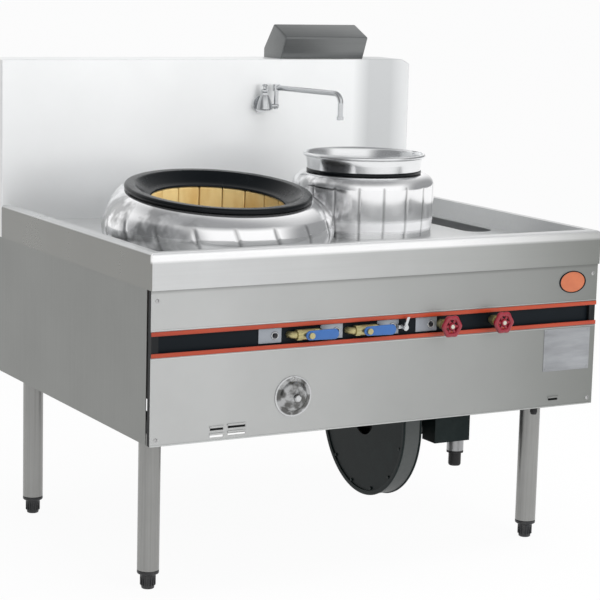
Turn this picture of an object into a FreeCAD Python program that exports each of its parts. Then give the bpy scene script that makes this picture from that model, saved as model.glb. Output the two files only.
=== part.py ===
import FreeCAD, Part
import math
import os

# Wok range for a commercial kitchen: one wok ring, one warm pot, swing tap and blower.
# Millimetres, +Z up, +X to the cook's right, +Y to the back. The origin is at the middle of the
# outer box on the floor.

V = FreeCAD.Vector

# Body
range_width = 1200.0
worktop_depth = 900.0
splash_box_depth = 125.0
rim_height = 800.0
splash_rise = 365.0
apron_height = 82.0
panel_bottom = 371.0
sheet = 1.5
panel_setback = 4.0
side_setback = 1.7
corner_gap = 27.0

# Worktop pan
pan_depth = 43.0
rim_land = 26.0
rim_slope = 14.0
nose_radius = 9.0

# Splashback
splash_chamfer_run = 25.0
splash_chamfer_drop = 13.0

# Legs and feet
leg_diameter = 51.0
leg_wall = 2.0
leg_side_inset = 74.0
leg_end_inset = 158.0
foot_height = 45.0
foot_top_radius = 18.0
foot_bottom_radius = 15.0
foot_stem_radius = 8.0
foot_stem_reach = 40.0
foot_plug_depth = 30.0

# Frame
rail_width = 40.0
rail_height = 30.0
rail_wall = 2.5
front_rail_offset = 60.0
corner_post = 17.0
post_size = 30.0
post_offset = 70.0
frame_inset = 20.0
furnace_rail_offset = 120.0
blower_rail_offset = 108.0
blower_rail_pitch = 110.0

# Wok ring and furnace
wok_x = -243.0
wok_behind_front = 394.5
ring_height = 887.0
ring_tilt = 6.4
ring_radius = 226.0
ring_edge = 14.0
throat_radius = 161.0
throat_drop = 32.0
funnel_drop = 28.0
ring_flat = 14.0
seat_gap = 0.3
shell_radius = 216.0
shell_wall = 5.0
furnace_bottom = 401.0
hearth_height = 490.0
brick_count = 18
brick_joint = 0.6
brick_inner_low = 112.0
collar_foot_radius = 262.0
collar_bulge_radius = 272.0
collar_wall = 2.0
collar_grooves = 18
collar_groove_start = 13.6
collar_groove_slant = 18.0
collar_band_top = 826.0
groove_width = 4.0
groove_depth = 1.0
burner_radius = 80.0
burner_height = 92.0

# Warm pot and its housing
pot_x = 208.0
pot_behind_front = 476.5
pot_rim_height = 955.0
pot_rim_radius = 155.0
pot_wall = 1.5
pot_depth = 205.0
pot_body_radius = 126.0
housing_radius = 179.0
housing_wall = 2.0
housing_top = 905.0
housing_grooves = 18
housing_groove_start = 16.2
support_height = 9.0
support_outer = 145.0
support_inner = 131.0
well_radius = 160.0
well_bottom = 640.0

# Flue
flue_left = 210.0
flue_width = 246.0
duct_bottom = 655.0
duct_height = 80.0
duct_width = 110.0
cap_overhang = 5.0
cap_base_offset = 21.0
cap_front_lean = 26.0
cap_front_rise = 59.0
cap_ridge_back = 48.0
cap_ridge_rise = 92.0
cap_rear_rise = 25.0
cap_rear_inset = 1.0

# Drain
trough_width = 96.0
trough_length = 490.0
trough_middle_behind_front = 585.5
trough_depth = 22.0
trough_side_inset = 154.0
drain_behind_front = 423.5
drain_side_inset = 118.0
drain_radius = 22.0
drain_wall = 1.5
drain_end_height = 170.0
sleeve_reach = 41.0
sleeve_radius = 16.5
sleeve_bore = 11.0
strainer_radius = 26.0

# Control channel
channel_top = 627.0
channel_bottom = 569.0
channel_depth = 12.0
trim_width = 10.0
trim_thickness = 1.5

# Gas valves with levers
valve_positions = (-212.0, -60.0)
valve_reach = 40.0
valve_body_radius = 12.0
valve_nut_radius = 13.0
valve_stand_off = 3.0
valve_pipe_radius = 8.0
lever_length = 72.0
lever_height = 25.0
lever_thickness = 6.0
lever_stand_off = 2.0
stem_radius = 4.0
bore_clearance = 0.05
joint_gap = 0.1
pilot_x = 43.0
pilot_lever_length = 24.0

# Pipes behind the panels
manifold_rise = 67.0
manifold_radius = 17.0
pipe_wall = 2.0
pipe_setback = 44.0
pipe_bend_share = 1.5
pipe_cap = 3.0
side_pipe_inset = 25.0
water_pipe_drop = 70.0
water_pipe_radius = 10.6
inlet_reach = 30.0
thread_depth = 0.4
feed_radius = 9.0
feed_height = 430.0
feed_tee_height = 520.0
pilot_radius = 4.0
pilot_run_height = 470.0
pilot_end_x = -150.0

# Switch plates and buttons
plate_positions = (-301.0, -142.0, 8.0, 113.0)
plate_width = 58.0
plate_height = 33.0
plate_thickness = 2.0
button_offset = 12.0
button_radius = 5.0
button_length = 15.0
button_proud = 5.0
button_clearance = 0.1

# Stop valves with handwheels
handwheel_positions = (153.0, 299.0)
handwheel_radius = 28.0
handwheel_thickness = 13.0
handwheel_reach = 42.0
wheel_gap = 6.0
spindle_radius = 5.0
bonnet_radius = 10.0
water_tail_radius = 9.0

# Ignition port
port_x = -243.0
port_height = 457.0
port_radius = 33.0
port_wall = 2.0
cover_radius = 48.0
cover_dome_radius = 36.0
cover_dome_rise = 11.0
cover_sheet = 1.5
cover_pivot_rise = 41.0
pivot_radius = 2.5
cover_gap = 0.3

# Wall tap
tap_x = 133.0
tap_wall_gap = 24.0
tap_foot_height = 1032.0
tap_body_height = 46.0
tap_radius = 21.0
riser_offset = 35.0
riser_radius = 6.0
spout_rise = 59.0
spout_length = 262.0
spout_drop = 58.0
spout_radius = 7.0
spout_angle = 11.0
spout_bend = 24.0

# Blower
blower_x = 212.0
blower_behind_front = 446.5
blower_height = 279.0
scroll_radius = 201.0
scroll_width = 45.0
scroll_wall = 3.0
intake_radius = 48.0
neck_depth = 120.0
neck_top = 505.0
air_duct_height = 446.0
air_duct_radius = 38.0
impeller_radius = 165.0
impeller_blades = 12
shaft_radius = 8.0
motor_radius = 62.0
motor_length = 190.0
junction_width = 105.0
junction_depth = 60.0
junction_height = 150.0

# Details
screw_head_radius = 5.0
screw_head_height = 2.0
screw_inset_x = 16.0
upper_screw_drop = 23.0
lower_screw_rise = 15.0
badge_side_inset = 76.0
badge_drop = 41.0
badge_half_width = 39.0
badge_half_height = 27.0
data_plate_side_inset = 85.0
data_plate_rise = 141.0
data_plate_width = 136.0
data_plate_tall = 104.0
tag_thickness = 1.0
louvre_height = 9.0
left_louvres = ((165.0, 13.0, 33.0), (165.0, 29.0, 33.0), (215.0, 15.0, 44.0), (215.0, 31.0, 44.0))
right_louvre = (119.0, 21.0, 28.0)
gland_side_inset = 119.0
gland_radius = 10.0
gland_length = 34.0

# Places that follow from the sizes above
body_depth = worktop_depth + splash_box_depth
front = (handwheel_reach - inlet_reach - body_depth) / 2
splash_front = front + worktop_depth
rear = front + body_depth
half_width = range_width / 2
apron_bottom = rim_height - apron_height
pan_floor = rim_height - pan_depth
pan_under = pan_floor - sheet
splash_top = rim_height + splash_rise
panel_front = front + panel_setback
panel_back = panel_front + sheet
channel_back = panel_front + channel_depth
control_height = (channel_top + channel_bottom) / 2
manifold_height = control_height + manifold_rise
water_pipe_height = control_height - water_pipe_drop
spout_height = tap_foot_height + spout_rise
wok_y = front + wok_behind_front
pot_y = front + pot_behind_front
pot_axis = (pot_x, pot_y)
wok_axis = (wok_x, wok_y)
rail_top = panel_bottom + rail_height
leg_x = half_width - leg_side_inset
leg_ys = (front + leg_end_inset, rear - leg_end_inset)
pipe_y = front + pipe_setback
side_pipe_x = half_width - side_pipe_inset
blower_y = front + blower_behind_front
drain_x = half_width - drain_side_inset
drain_y = front + drain_behind_front
trough_left = half_width - trough_side_inset
trough_y = front + trough_middle_behind_front
tap_y = splash_front - tap_wall_gap
tap_pipe_height = tap_foot_height + 14.0
side_outer = half_width - side_setback
valve_y = panel_front - valve_stand_off
lever_back = valve_y - valve_nut_radius - lever_stand_off
lever_front = lever_back - lever_thickness
badge_x = half_width - badge_side_inset
badge_height = apron_bottom - badge_drop
data_plate_x = half_width - data_plate_side_inset
data_plate_height = panel_bottom + data_plate_rise
gland_x = half_width - gland_side_inset
louvre_slots = [(inset - half_width, rise + panel_bottom, width) for inset, rise, width in left_louvres]
louvre_slots.append((half_width - right_louvre[0], panel_bottom + right_louvre[1], right_louvre[2]))
furnace_rail_xs = (wok_x - furnace_rail_offset, wok_x + furnace_rail_offset)
blower_rail_xs = (blower_x + blower_rail_offset, blower_x + blower_rail_offset + blower_rail_pitch)
feed_x = valve_positions[0] + valve_reach
air_duct_y = blower_y - scroll_radius + neck_depth / 2
wheel_back = front - handwheel_reach + handwheel_thickness + wheel_gap

# How far a cutting block passes the face that it cuts, and how far one that takes everything away on
# its side reaches.
PAD = 5.0
FAR = 400.0


def box(x0, x1, y0, y1, z0, z1):
    """Rectangular block between two corners."""
    return Part.makeBox(x1 - x0, y1 - y0, z1 - z0, V(x0, y0, z0))


def rod(start, end, radius):
    """Round bar from one point to another."""
    way = V(*end) - V(*start)
    return Part.makeCylinder(radius, way.Length, V(*start), way)


def turned(axis, start, *moves):
    """Solid turned about the vertical line at axis. A move is an end point (radius, height), or a
    middle point and an end point of an arc."""
    edges = []
    here = V(start[0], 0, start[1])
    first = here
    for move in moves:
        if isinstance(move[0], tuple):
            middle = V(move[0][0], 0, move[0][1])
            end = V(move[1][0], 0, move[1][1])
            edges.append(Part.Arc(here, middle, end).toShape())
        else:
            end = V(move[0], 0, move[1])
            edges.append(Part.LineSegment(here, end).toShape())
        here = end
    edges.append(Part.LineSegment(here, first).toShape())
    solid = Part.Face(Part.Wire(edges)).revolve(V(0, 0, 0), V(0, 0, 1), 360)
    solid.translate(V(axis[0], axis[1], 0))
    return solid


def facing_cook(shape, x, y, z):
    """A solid built about the vertical axis, laid so that its top points to the cook, and placed."""
    shape.rotate(V(0, 0, 0), V(1, 0, 0), 90)
    shape.translate(V(x, y, z))
    return shape


def prism(points, along):
    """Block with a flat outline, pushed along a direction."""
    corners = [V(*point) for point in points]
    return Part.Face(Part.makePolygon(corners + [corners[0]])).extrude(V(*along))


def pipe_end(place, way, radius, wall):
    """Face across a pipe: a disc, or a ring when a wall is given."""
    disc = Part.Face(Part.Wire(Part.makeCircle(radius, place, way)))
    if wall:
        disc = disc.cut(Part.Face(Part.Wire(Part.makeCircle(radius - wall, place, way))))
    return disc.Faces[0]


def pipe_run(points, radius, wall=0.0):
    """Pipe through points with square corners, each rounded to an elbow."""
    bend = radius * pipe_bend_share
    parts = []
    here = V(*points[0])
    for step in range(1, len(points)):
        corner = V(*points[step])
        way = (corner - here).normalize()
        if step == len(points) - 1:
            parts.append(pipe_end(here, way, radius, wall).extrude(corner - here))
            break
        start = corner - way * bend
        turn = (V(*points[step + 1]) - corner).normalize()
        parts.append(pipe_end(here, way, radius, wall).extrude(start - here))
        parts.append(pipe_end(start, way, radius, wall).revolve(start + turn * bend, way.cross(turn), 90))
        here = corner + turn * bend
    return fused(parts)


def fused(shapes):
    """Several overlapping solids made one."""
    if len(shapes) == 1:
        return shapes[0]
    return shapes[0].fuse(shapes[1:]).removeSplitter()


def about(shape, axis, angle):
    """Copy of a shape turned about the vertical line at axis."""
    copy = shape.copy()
    copy.rotate(V(axis[0], axis[1], 0), V(0, 0, 1), angle)
    return copy


def tilted_to_cook(shape):
    """A shape about the wok axis, its zero height at the ring's top, tipped towards the cook."""
    shape.translate(V(0, 0, ring_height))
    shape.rotate(V(wok_x, wok_y, ring_height), V(1, 0, 0), ring_tilt)
    return shape


def below_ring(depth):
    """Everything under a tilted plane that lies a given depth below the ring's top."""
    block = box(wok_x - FAR, wok_x + FAR, wok_y - FAR, wok_y + FAR, -depth - 2 * FAR, -depth)
    return tilted_to_cook(block)


def nut(start, radius, length, along):
    """Six-sided nut from a point, pushed along the x or y axis."""
    corners = []
    for step in range(6):
        angle = math.radians(60 * step)
        across, up = radius * math.cos(angle), radius * math.sin(angle)
        if along == "x":
            corners.append((start[0], start[1] + across, start[2] + up))
        else:
            corners.append((start[0] + across, start[1], start[2] + up))
    return prism(corners, (length, 0, 0) if along == "x" else (0, length, 0))


def thread_relief(x, z, radius):
    """Thin sleeve to cut from a pipe's tail behind the range, which leaves it at thread size."""
    outer = rod((x, rear, z), (x, rear + inlet_reach + PAD, z), radius + PAD)
    return outer.cut(rod((x, rear, z), (x, rear + inlet_reach + PAD, z), radius - thread_depth))


def save(name, *solids):
    """Write the solids of one sub-part."""
    shape = solids[0] if len(solids) == 1 else Part.makeCompound(list(solids))
    if not shape.isValid():
        print("not valid:", name)
    shape.exportStep("parts/" + name + ".step")
    print(name, len(shape.Solids), round(shape.Volume / 1000.0, 1), "cm3")


def rail(x0, x1, y0, y1, z0, z1, along):
    """Rectangular tube, open at both ends along one axis."""
    t = rail_wall
    hole = {"x": (x0 - PAD, x1 + PAD, y0 + t, y1 - t, z0 + t, z1 - t),
            "y": (x0 + t, x1 - t, y0 - PAD, y1 + PAD, z0 + t, z1 - t),
            "z": (x0 + t, x1 - t, y0 + t, y1 - t, z0 - PAD, z1 + PAD)}[along]
    return box(x0, x1, y0, y1, z0, z1).cut(box(*hole))


# Base frame: side rails over the legs, front and rear rails, cross rails and upright posts.
def base_frame():
    half = rail_width / 2
    front_rail = (front + front_rail_offset, front + front_rail_offset + rail_width)
    rear_rail = (rear - frame_inset - rail_width, rear - frame_inset)
    solids = []
    for side in (-1, 1):
        x = side * leg_x
        solids.append(rail(x - half, x + half, front + frame_inset, rear - frame_inset,
                           panel_bottom, rail_top, "y"))
        for y in (front + post_offset, splash_front - 10.0 - post_size):
            solids.append(rail(x - post_size / 2, x + post_size / 2, y, y + post_size,
                               rail_top, pan_under, "z"))
        outer = side * (side_outer - sheet - 0.2)
        inner = outer - side * corner_post
        solids.append(rail(min(outer, inner), max(outer, inner), panel_back, panel_back + corner_post,
                           panel_bottom, apron_bottom + 20.0, "z"))
    for y0, y1 in (front_rail, rear_rail):
        solids.append(rail(half - leg_x, leg_x - half, y0, y1, panel_bottom, rail_top, "x"))
    for x in furnace_rail_xs + blower_rail_xs:
        solids.append(rail(x - half, x + half, front_rail[1], rear_rail[0], panel_bottom, rail_top, "y"))
    return solids


# Legs: round tubes closed at the top, with a plug in the lower end that takes the foot's stem.
def leg_tubes():
    radius = leg_diameter / 2
    plug_top = foot_height + foot_plug_depth
    solids = []
    for x in (-leg_x, leg_x):
        for y in leg_ys:
            tube = rod((x, y, foot_height), (x, y, panel_bottom), radius)
            hollow = rod((x, y, plug_top), (x, y, panel_bottom - 4.0), radius - leg_wall)
            hole = rod((x, y, foot_height - PAD), (x, y, plug_top + PAD), foot_stem_radius + bore_clearance)
            solids.append(tube.cut(hollow).cut(hole))
    return solids


def levelling_foot(x, y):
    """Tapered foot with a wide collar under the tube and a stem that screws into the leg plug."""
    collar = leg_diameter / 2
    foot = turned((x, y), (0, 0), (foot_bottom_radius - 3.0, 0), (foot_bottom_radius, 3.0),
                  (foot_top_radius, foot_height - 12.0), (collar - 2.0, foot_height - 9.0),
                  (collar, foot_height - 7.0), (collar, foot_height - 0.5),
                  (foot_stem_radius, foot_height - 0.5),
                  (foot_stem_radius, foot_height + foot_stem_reach),
                  (0, foot_height + foot_stem_reach))
    return foot


def pan_recess(grow, floor):
    """The sunken middle of the worktop, open towards the splashback, with sloping walls."""
    top = half_width - rim_land + grow
    low = top - rim_slope
    y_top = front + rim_land - grow
    y_low = y_top + rim_slope
    back = splash_front + PAD
    height = rim_height + PAD
    lean = rim_slope * PAD / pan_depth
    lower = Part.makePolygon([V(-low, y_low, floor), V(low, y_low, floor), V(low, back, floor),
                              V(-low, back, floor), V(-low, y_low, floor)])
    wide = top + lean
    upper = Part.makePolygon([V(-wide, y_top - lean, height), V(wide, y_top - lean, height),
                              V(wide, back, height), V(-wide, back, height),
                              V(-wide, y_top - lean, height)])
    return Part.makeLoft([lower, upper], True, True)


def nosed_block(inset, top, bottom):
    """Outer block of the worktop with its front and side edges rounded over."""
    block = box(inset - half_width, half_width - inset, front + inset, splash_front, bottom, top)
    edges = []
    for edge in block.Edges:
        low, high = edge.BoundBox, block.BoundBox
        at_top = low.ZMin > top - 0.1
        if at_top and (low.YMax < high.YMin + 0.1 or low.XMax < high.XMin + 0.1
                       or low.XMin > high.XMax - 0.1):
            edges.append(edge)
    return block.makeFillet(nose_radius - inset, edges)


def trough_outline(inset, z, height):
    """Slot-shaped block: straight sides and round ends along the right of the pan."""
    radius = trough_width / 2 - inset
    x = trough_left + trough_width / 2
    reach = (trough_length - trough_width) / 2
    middle = box(x - radius, x + radius, trough_y - reach, trough_y + reach, z, z + height)
    ends = [Part.makeCylinder(radius, height, V(x, trough_y + way * reach, z)) for way in (-1, 1)]
    return fused([middle] + ends)


# Worktop: folded pan with a raised rim, holes for furnace, pot and trough.
def worktop():
    outside = nosed_block(0.0, rim_height, apron_bottom).cut(pan_recess(0.0, pan_floor))
    inside = nosed_block(sheet, rim_height - sheet, apron_bottom - PAD)
    inside = inside.cut(pan_recess(sheet, pan_under))
    pan = outside.cut(inside)
    pan = pan.cut(rod((*wok_axis, pan_under - PAD), (*wok_axis, pan_floor + PAD), shell_radius + 1.0))
    pan = pan.cut(rod((*pot_axis, pan_under - PAD), (*pot_axis, pan_floor + PAD), well_radius - 3.0))
    return pan.cut(trough_outline(6.0, pan_under - PAD, sheet + 2 * PAD))


# Drain trough: pressed channel hung under the pan, with its outlet hole.
def drain_trough():
    top = pan_under
    outer = trough_outline(0.0, top - sheet, sheet)
    outer = outer.fuse(trough_outline(6.0, top - trough_depth, trough_depth - sheet)).removeSplitter()
    inner = trough_outline(6.0 + sheet, top - trough_depth + sheet, trough_depth + PAD)
    hole = rod((drain_x, drain_y, top - trough_depth - PAD), (drain_x, drain_y, top),
               drain_radius - drain_wall)
    return outer.cut(inner).cut(hole)


# Strainer: round perforated cup that drops over the outlet.
def drain_strainer():
    floor = pan_under - trough_depth + sheet + seat_gap
    radius = drain_radius - drain_wall - 1.0
    cup = turned((drain_x, drain_y), (radius - 1.2, floor - 12.0), (radius, floor - 12.0), (radius, floor),
                 (strainer_radius, floor), (strainer_radius, floor + 1.2), (0, floor + 1.2), (0, floor),
                 (radius - 1.2, floor))
    holes = []
    for circle_radius, count in ((8.0, 6), (15.0, 12)):
        for step in range(count):
            angle = 2 * math.pi * step / count
            x = drain_x + circle_radius * math.cos(angle)
            y = drain_y + circle_radius * math.sin(angle)
            holes.append(rod((x, y, floor - PAD), (x, y, floor + PAD), 2.0))
    return cup.cut(holes)


# Drain pipe under the trough outlet and the black sleeve on its end.
def drain_pipe():
    top = pan_under - trough_depth
    tube = rod((drain_x, drain_y, drain_end_height), (drain_x, drain_y, top), drain_radius)
    return tube.cut(rod((drain_x, drain_y, 0), (drain_x, drain_y, top + PAD), drain_radius - drain_wall))


def drain_sleeve():
    top = drain_end_height
    low = top - sleeve_reach
    return turned((drain_x, drain_y), (sleeve_bore, low), (sleeve_radius - 2.0, low),
                  (sleeve_radius, low + 4.0),
                  (sleeve_radius, top - 8.0), (drain_radius, top - 6.0), (drain_radius, top),
                  (sleeve_bore, top))


# Splashback: front plate, folded top and sides, one corner clipped, hole for the flue.
def splash_outline(inset, z0):
    top = splash_top - inset
    right = half_width - inset
    slant = inset * 0.6
    return [(-right, 0, z0), (right, 0, z0), (right, 0, splash_top - splash_chamfer_drop - slant),
            (half_width - splash_chamfer_run - slant, 0, top), (-right, 0, top)]


def splash_panel():
    length = splash_box_depth - sheet
    outside = prism(splash_outline(0.0, apron_bottom), (0, length, 0))
    inside = prism(splash_outline(sheet, apron_bottom - PAD), (0, length, 0))
    inside.translate(V(0, sheet, 0))
    panel = outside.cut(inside)
    panel.translate(V(0, splash_front, 0))
    flue = box(flue_left, flue_left + flue_width, *flue_ys(), splash_top - 4 * sheet, splash_top + PAD)
    duct = box(*rear_duct_xs(0.5), splash_front - PAD, splash_front + 4 * sheet,
               duct_bottom - 0.5, duct_bottom + duct_height + 0.5)
    supply = rod((tap_x, splash_front - PAD, tap_pipe_height), (tap_x, splash_front + PAD, tap_pipe_height),
                 water_pipe_radius + 0.3)
    return panel.cut(flue).cut(duct).cut(supply)


def flue_ys():
    return splash_front + cap_base_offset + 2.0, rear - sheet - 2.0


def rear_duct_xs(grow):
    left = flue_left + 2.0
    return left - grow, left + duct_width + grow


# Rear panel with holes for the gas and water inlets.
def rear_panel():
    panel = box(-half_width, half_width, rear - sheet, rear, panel_bottom,
                splash_top - splash_chamfer_drop - 2.0)
    for x, z, radius in ((side_pipe_x, manifold_height, manifold_radius),
                         (side_pipe_x, water_pipe_height, water_pipe_radius),
                         (tap_x, tap_pipe_height, water_pipe_radius)):
        panel = panel.cut(rod((x, rear - PAD, z), (x, rear + PAD, z), radius + 0.3))
    return panel


# Side panels: flat sheets tucked inside the worktop skirt.
def side_panel(side):
    outer = side * side_outer
    inner = outer - side * sheet
    return box(min(outer, inner), max(outer, inner), front + corner_gap, rear - sheet - 0.2,
               panel_bottom, apron_bottom).fuse(
        box(min(outer, inner), max(outer, inner), front + corner_gap, splash_front - 2.0,
            apron_bottom, apron_bottom + 30.0)).removeSplitter()


# Front panels above and below the control channel.
def upper_front_panel():
    return box(-side_outer, side_outer, panel_front, panel_back, channel_top, apron_bottom + 30.0)


def lower_front_panel():
    panel = box(-side_outer, side_outer, panel_front, panel_back, panel_bottom, channel_bottom)
    cuts = [rod((port_x, panel_front - PAD, port_height), (port_x, panel_back + PAD, port_height),
                port_radius)]
    pivot = port_height + cover_pivot_rise
    cuts.append(rod((port_x, panel_front - PAD, pivot), (port_x, panel_back + PAD, pivot),
                    pivot_radius + 0.1))
    for x, z, width in louvre_slots:
        cuts.append(box(x - width / 2, x + width / 2, panel_front - PAD, panel_back + PAD,
                        z - louvre_height / 2, z + louvre_height / 2))
    return panel.cut(cuts)


# Control channel: black trough let into the front, with holes for pipes and buttons.
def control_channel():
    outer = box(-side_outer, side_outer, panel_front, channel_back, channel_bottom, channel_top)
    inner = box(-half_width, half_width, panel_front - PAD, channel_back - sheet,
                channel_bottom + sheet, channel_top - sheet)
    channel = outer.cut(inner)
    z = control_height
    cuts = []
    for x in valve_positions:
        for side in (-1, 1):
            cuts.append((x + side * valve_reach, valve_pipe_radius + 0.3))
    cuts += [(x + button_offset, button_radius + 1.0) for x in plate_positions]
    cuts += [(x, 10.0 + 0.3) for x in handwheel_positions]
    cuts.append((pilot_x, 7.0 + 0.3))
    holes = [rod((x, panel_front, z), (x, channel_back + PAD, z), radius) for x, radius in cuts]
    inner_edge = side_outer - sheet - corner_post - 0.4
    notches = [box(inner_edge, half_width, panel_back - 0.2, channel_back + PAD, channel_bottom - PAD,
                   channel_top + PAD)]
    notches.append(notches[0].mirror(V(0, 0, 0), V(1, 0, 0)))
    return channel.cut(holes + notches)


# Trims: two bright red strips along the edges of the channel.
def control_trims():
    y0 = panel_front - trim_thickness
    lower = box(-side_outer, side_outer, y0, panel_front, channel_bottom, channel_bottom + trim_width)
    upper = box(-side_outer, side_outer, y0, panel_front, channel_top - trim_width, channel_top)
    return [lower, upper]


# Bare oval plate and bare data plate.
def badge_plate():
    badge = Part.Face(Part.Wire(Part.Ellipse(V(0, 0, 0), badge_half_width, badge_half_height).toShape()))
    badge = badge.extrude(V(0, 0, tag_thickness))
    return facing_cook(badge, badge_x, panel_front, badge_height)


def data_plate():
    return box(data_plate_x - data_plate_width / 2, data_plate_x + data_plate_width / 2,
               panel_front - tag_thickness, panel_front,
               data_plate_height - data_plate_tall / 2, data_plate_height + data_plate_tall / 2)


# Screws at the panel corners and the pivot screw of the ignition cover.
def screw_head(low):
    """Outline moves of a low domed head that starts at a given height."""
    return [(screw_head_radius, low), (screw_head_radius, low + 0.4 * screw_head_height),
            (screw_head_radius * 0.7, low + 0.9 * screw_head_height),
            (screw_head_radius * 0.3, low + screw_head_height), (0, low + screw_head_height)]


def panel_screws():
    solids = []
    for x in (screw_inset_x - half_width, half_width - screw_inset_x):
        for z in (apron_bottom - upper_screw_drop, panel_bottom + lower_screw_rise):
            head = turned((0, 0), (0, 0), *screw_head(0.0))
            solids.append(facing_cook(head, x, panel_front, z))
    under_head = 2 * cover_gap + cover_sheet
    pivot = turned((0, 0), (0, -sheet - 3.0), (pivot_radius, -sheet - 3.0), (pivot_radius, under_head),
                   *screw_head(under_head))
    solids.append(facing_cook(pivot, port_x, panel_front, port_height + cover_pivot_rise))
    return solids


# Furnace shell: welded drum with a hearth shelf, its rim cut to the tilt of the ring.
def furnace_shell():
    top = ring_height + 40.0
    drum = rod((*wok_axis, furnace_bottom), (*wok_axis, top), shell_radius)
    inner = shell_radius - shell_wall
    drum = drum.cut(rod((*wok_axis, furnace_bottom + shell_wall), (*wok_axis, top + PAD), inner))
    shelf = rod((*wok_axis, hearth_height), (*wok_axis, hearth_height + 8.0), inner + 1.0)
    shelf = shelf.cut(rod((*wok_axis, hearth_height - PAD), (*wok_axis, hearth_height + 20.0),
                          burner_radius + 12.0))
    drum = drum.fuse(shelf).removeSplitter()
    drum = drum.common(below_ring(ring_edge + seat_gap))
    sight = rod((port_x, wok_y - 2 * shell_radius, port_height), (port_x, wok_y, port_height),
                port_radius + port_wall + 0.2)
    air = rod((wok_x, air_duct_y, air_duct_height), (blower_x, air_duct_y, air_duct_height),
              air_duct_radius + pipe_wall + 0.2)
    feed = rod((feed_x, front, feed_height), (feed_x, wok_y, feed_height), feed_radius + 0.3)
    pilot = rod((pilot_end_x, front, pilot_run_height), (pilot_end_x, wok_y, pilot_run_height),
                pilot_radius + 0.3)
    flue = duct_to_pot(0.3)
    return drum.cut([sight, air, feed, pilot, flue])


# Fire bricks: ring of wedge segments with an inner cone.
def refractory_lining():
    inner_top = throat_radius + 2.0
    outer = shell_radius - shell_wall - 1.0
    floor = hearth_height + 8.0
    top = ring_height + 20.0
    angle = 360.0 / brick_count
    wedge = Part.Face(Part.makePolygon([V(brick_inner_low, 0, floor), V(outer, 0, floor), V(outer, 0, top),
                                        V(inner_top, 0, top), V(inner_top, 0, ring_height - 120.0),
                                        V(brick_inner_low, 0, floor)]))
    wedge = wedge.revolve(V(0, 0, 0), V(0, 0, 1), angle - brick_joint)
    wedge.translate(V(*wok_axis, 0))
    cover = below_ring(throat_drop + 1.5)
    flue = duct_to_pot(0.0, 60.0)
    bricks = []
    for step in range(brick_count):
        bricks += about(wedge, wok_axis, angle * step).common(cover).cut(flue).Solids
    return bricks


# Burner: cast cup on the furnace floor with a ring of gas ports.
def burner_head():
    low = furnace_bottom + shell_wall
    top = low + burner_height
    head = turned(wok_axis, (20.0, low), (burner_radius, low), (burner_radius, top - 18.0),
                  ((burner_radius - 6.0, top - 6.0), (burner_radius - 22.0, top)),
                  (burner_radius - 30.0, top), (36.0, top - 14.0), (36.0, low + 12.0), (20.0, low + 12.0))
    ports = []
    for step in range(24):
        angle = 15.0 * step
        port = rod((wok_x + burner_radius - 40.0, wok_y, top - 26.0),
                   (wok_x + burner_radius + 4.0, wok_y, top - 18.0), 2.5)
        ports.append(about(port, wok_axis, angle))
    return head.cut(ports)


def collar_form(inset, stretch):
    """Bulging drum, tipped with the ring and standing level on the pan."""
    top = -ring_edge - seat_gap + stretch
    bulge = collar_bulge_radius - inset
    foot = collar_foot_radius - inset
    mouth = ring_radius - 3.0 - inset
    low = pan_floor - ring_height - 40.0
    drum = turned(wok_axis, (0, top), (mouth, top), (mouth, -ring_edge - seat_gap - 1.0),
                  ((mouth + 28.0, -30.0), (bulge - 4.0, -56.0)), ((bulge, -80.0), (bulge - 4.0, -110.0)),
                  (foot, low), (0, low))
    level = box(wok_x - FAR, wok_x + FAR, wok_y - FAR, wok_y + FAR, pan_floor - stretch, ring_height + FAR)
    return tilted_to_cook(drum).common(level)


# Collar: bright sheet ring round the furnace, creased by slanting grooves where it was hammered round.
def wok_collar():
    middle = (pan_floor + collar_band_top) / 2
    half = (collar_band_top - pan_floor) / 2
    blade = box(wok_x + shell_radius, wok_x + collar_bulge_radius + 20.0,
                wok_y - groove_width / 2, wok_y + groove_width / 2, middle - half, middle + half)
    blade.rotate(V(wok_x, wok_y, middle), V(1, 0, 0), collar_groove_slant)
    skin = collar_form(groove_depth, 1.0)
    scores = [about(blade, wok_axis, collar_groove_start + 360.0 * step / collar_grooves).cut(skin)
              for step in range(collar_grooves)]
    return collar_form(0.0, 0.0).cut(collar_form(collar_wall, 1.0)).cut(scores)


# Wok ring: heavy cast ring with a funnel to the throat.
def wok_ring():
    edge = ring_radius
    flat_end = edge - 7.0 - ring_flat
    spigot = shell_radius - shell_wall - 5.0
    ring = turned(wok_axis, (throat_radius, -throat_drop), (throat_radius + 11.0, -throat_drop),
                  (spigot, -ring_edge - 2.0), (spigot, -ring_edge), (edge - 2.0, -ring_edge),
                  ((edge - 0.4, -ring_edge + 2.0), (edge, -ring_edge / 2)),
                  ((edge - 2.0, -2.4), (edge - 7.0, 0)), (flat_end, 0),
                  ((flat_end - 4.0, -1.2), (flat_end - 7.0, -4.0)), (throat_radius + 4.0, -funnel_drop),
                  (throat_radius, -funnel_drop - 2.0))
    return tilted_to_cook(ring)


def duct_to_pot(grow, reach_in=0.0):
    """Straight flue from the furnace to the pot well, as a block wide enough to cut its openings."""
    way = V(pot_x - wok_x, pot_y - wok_y, 0)
    angle = math.degrees(math.atan2(way.y, way.x))
    half = duct_width / 2 + grow
    block = box(shell_radius - 20.0 - reach_in, way.Length - well_radius + 20.0, -half, half,
                duct_bottom - grow, duct_bottom + duct_height + grow)
    block.rotate(V(0, 0, 0), V(0, 0, 1), angle)
    block.translate(V(*wok_axis, 0))
    return block


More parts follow.
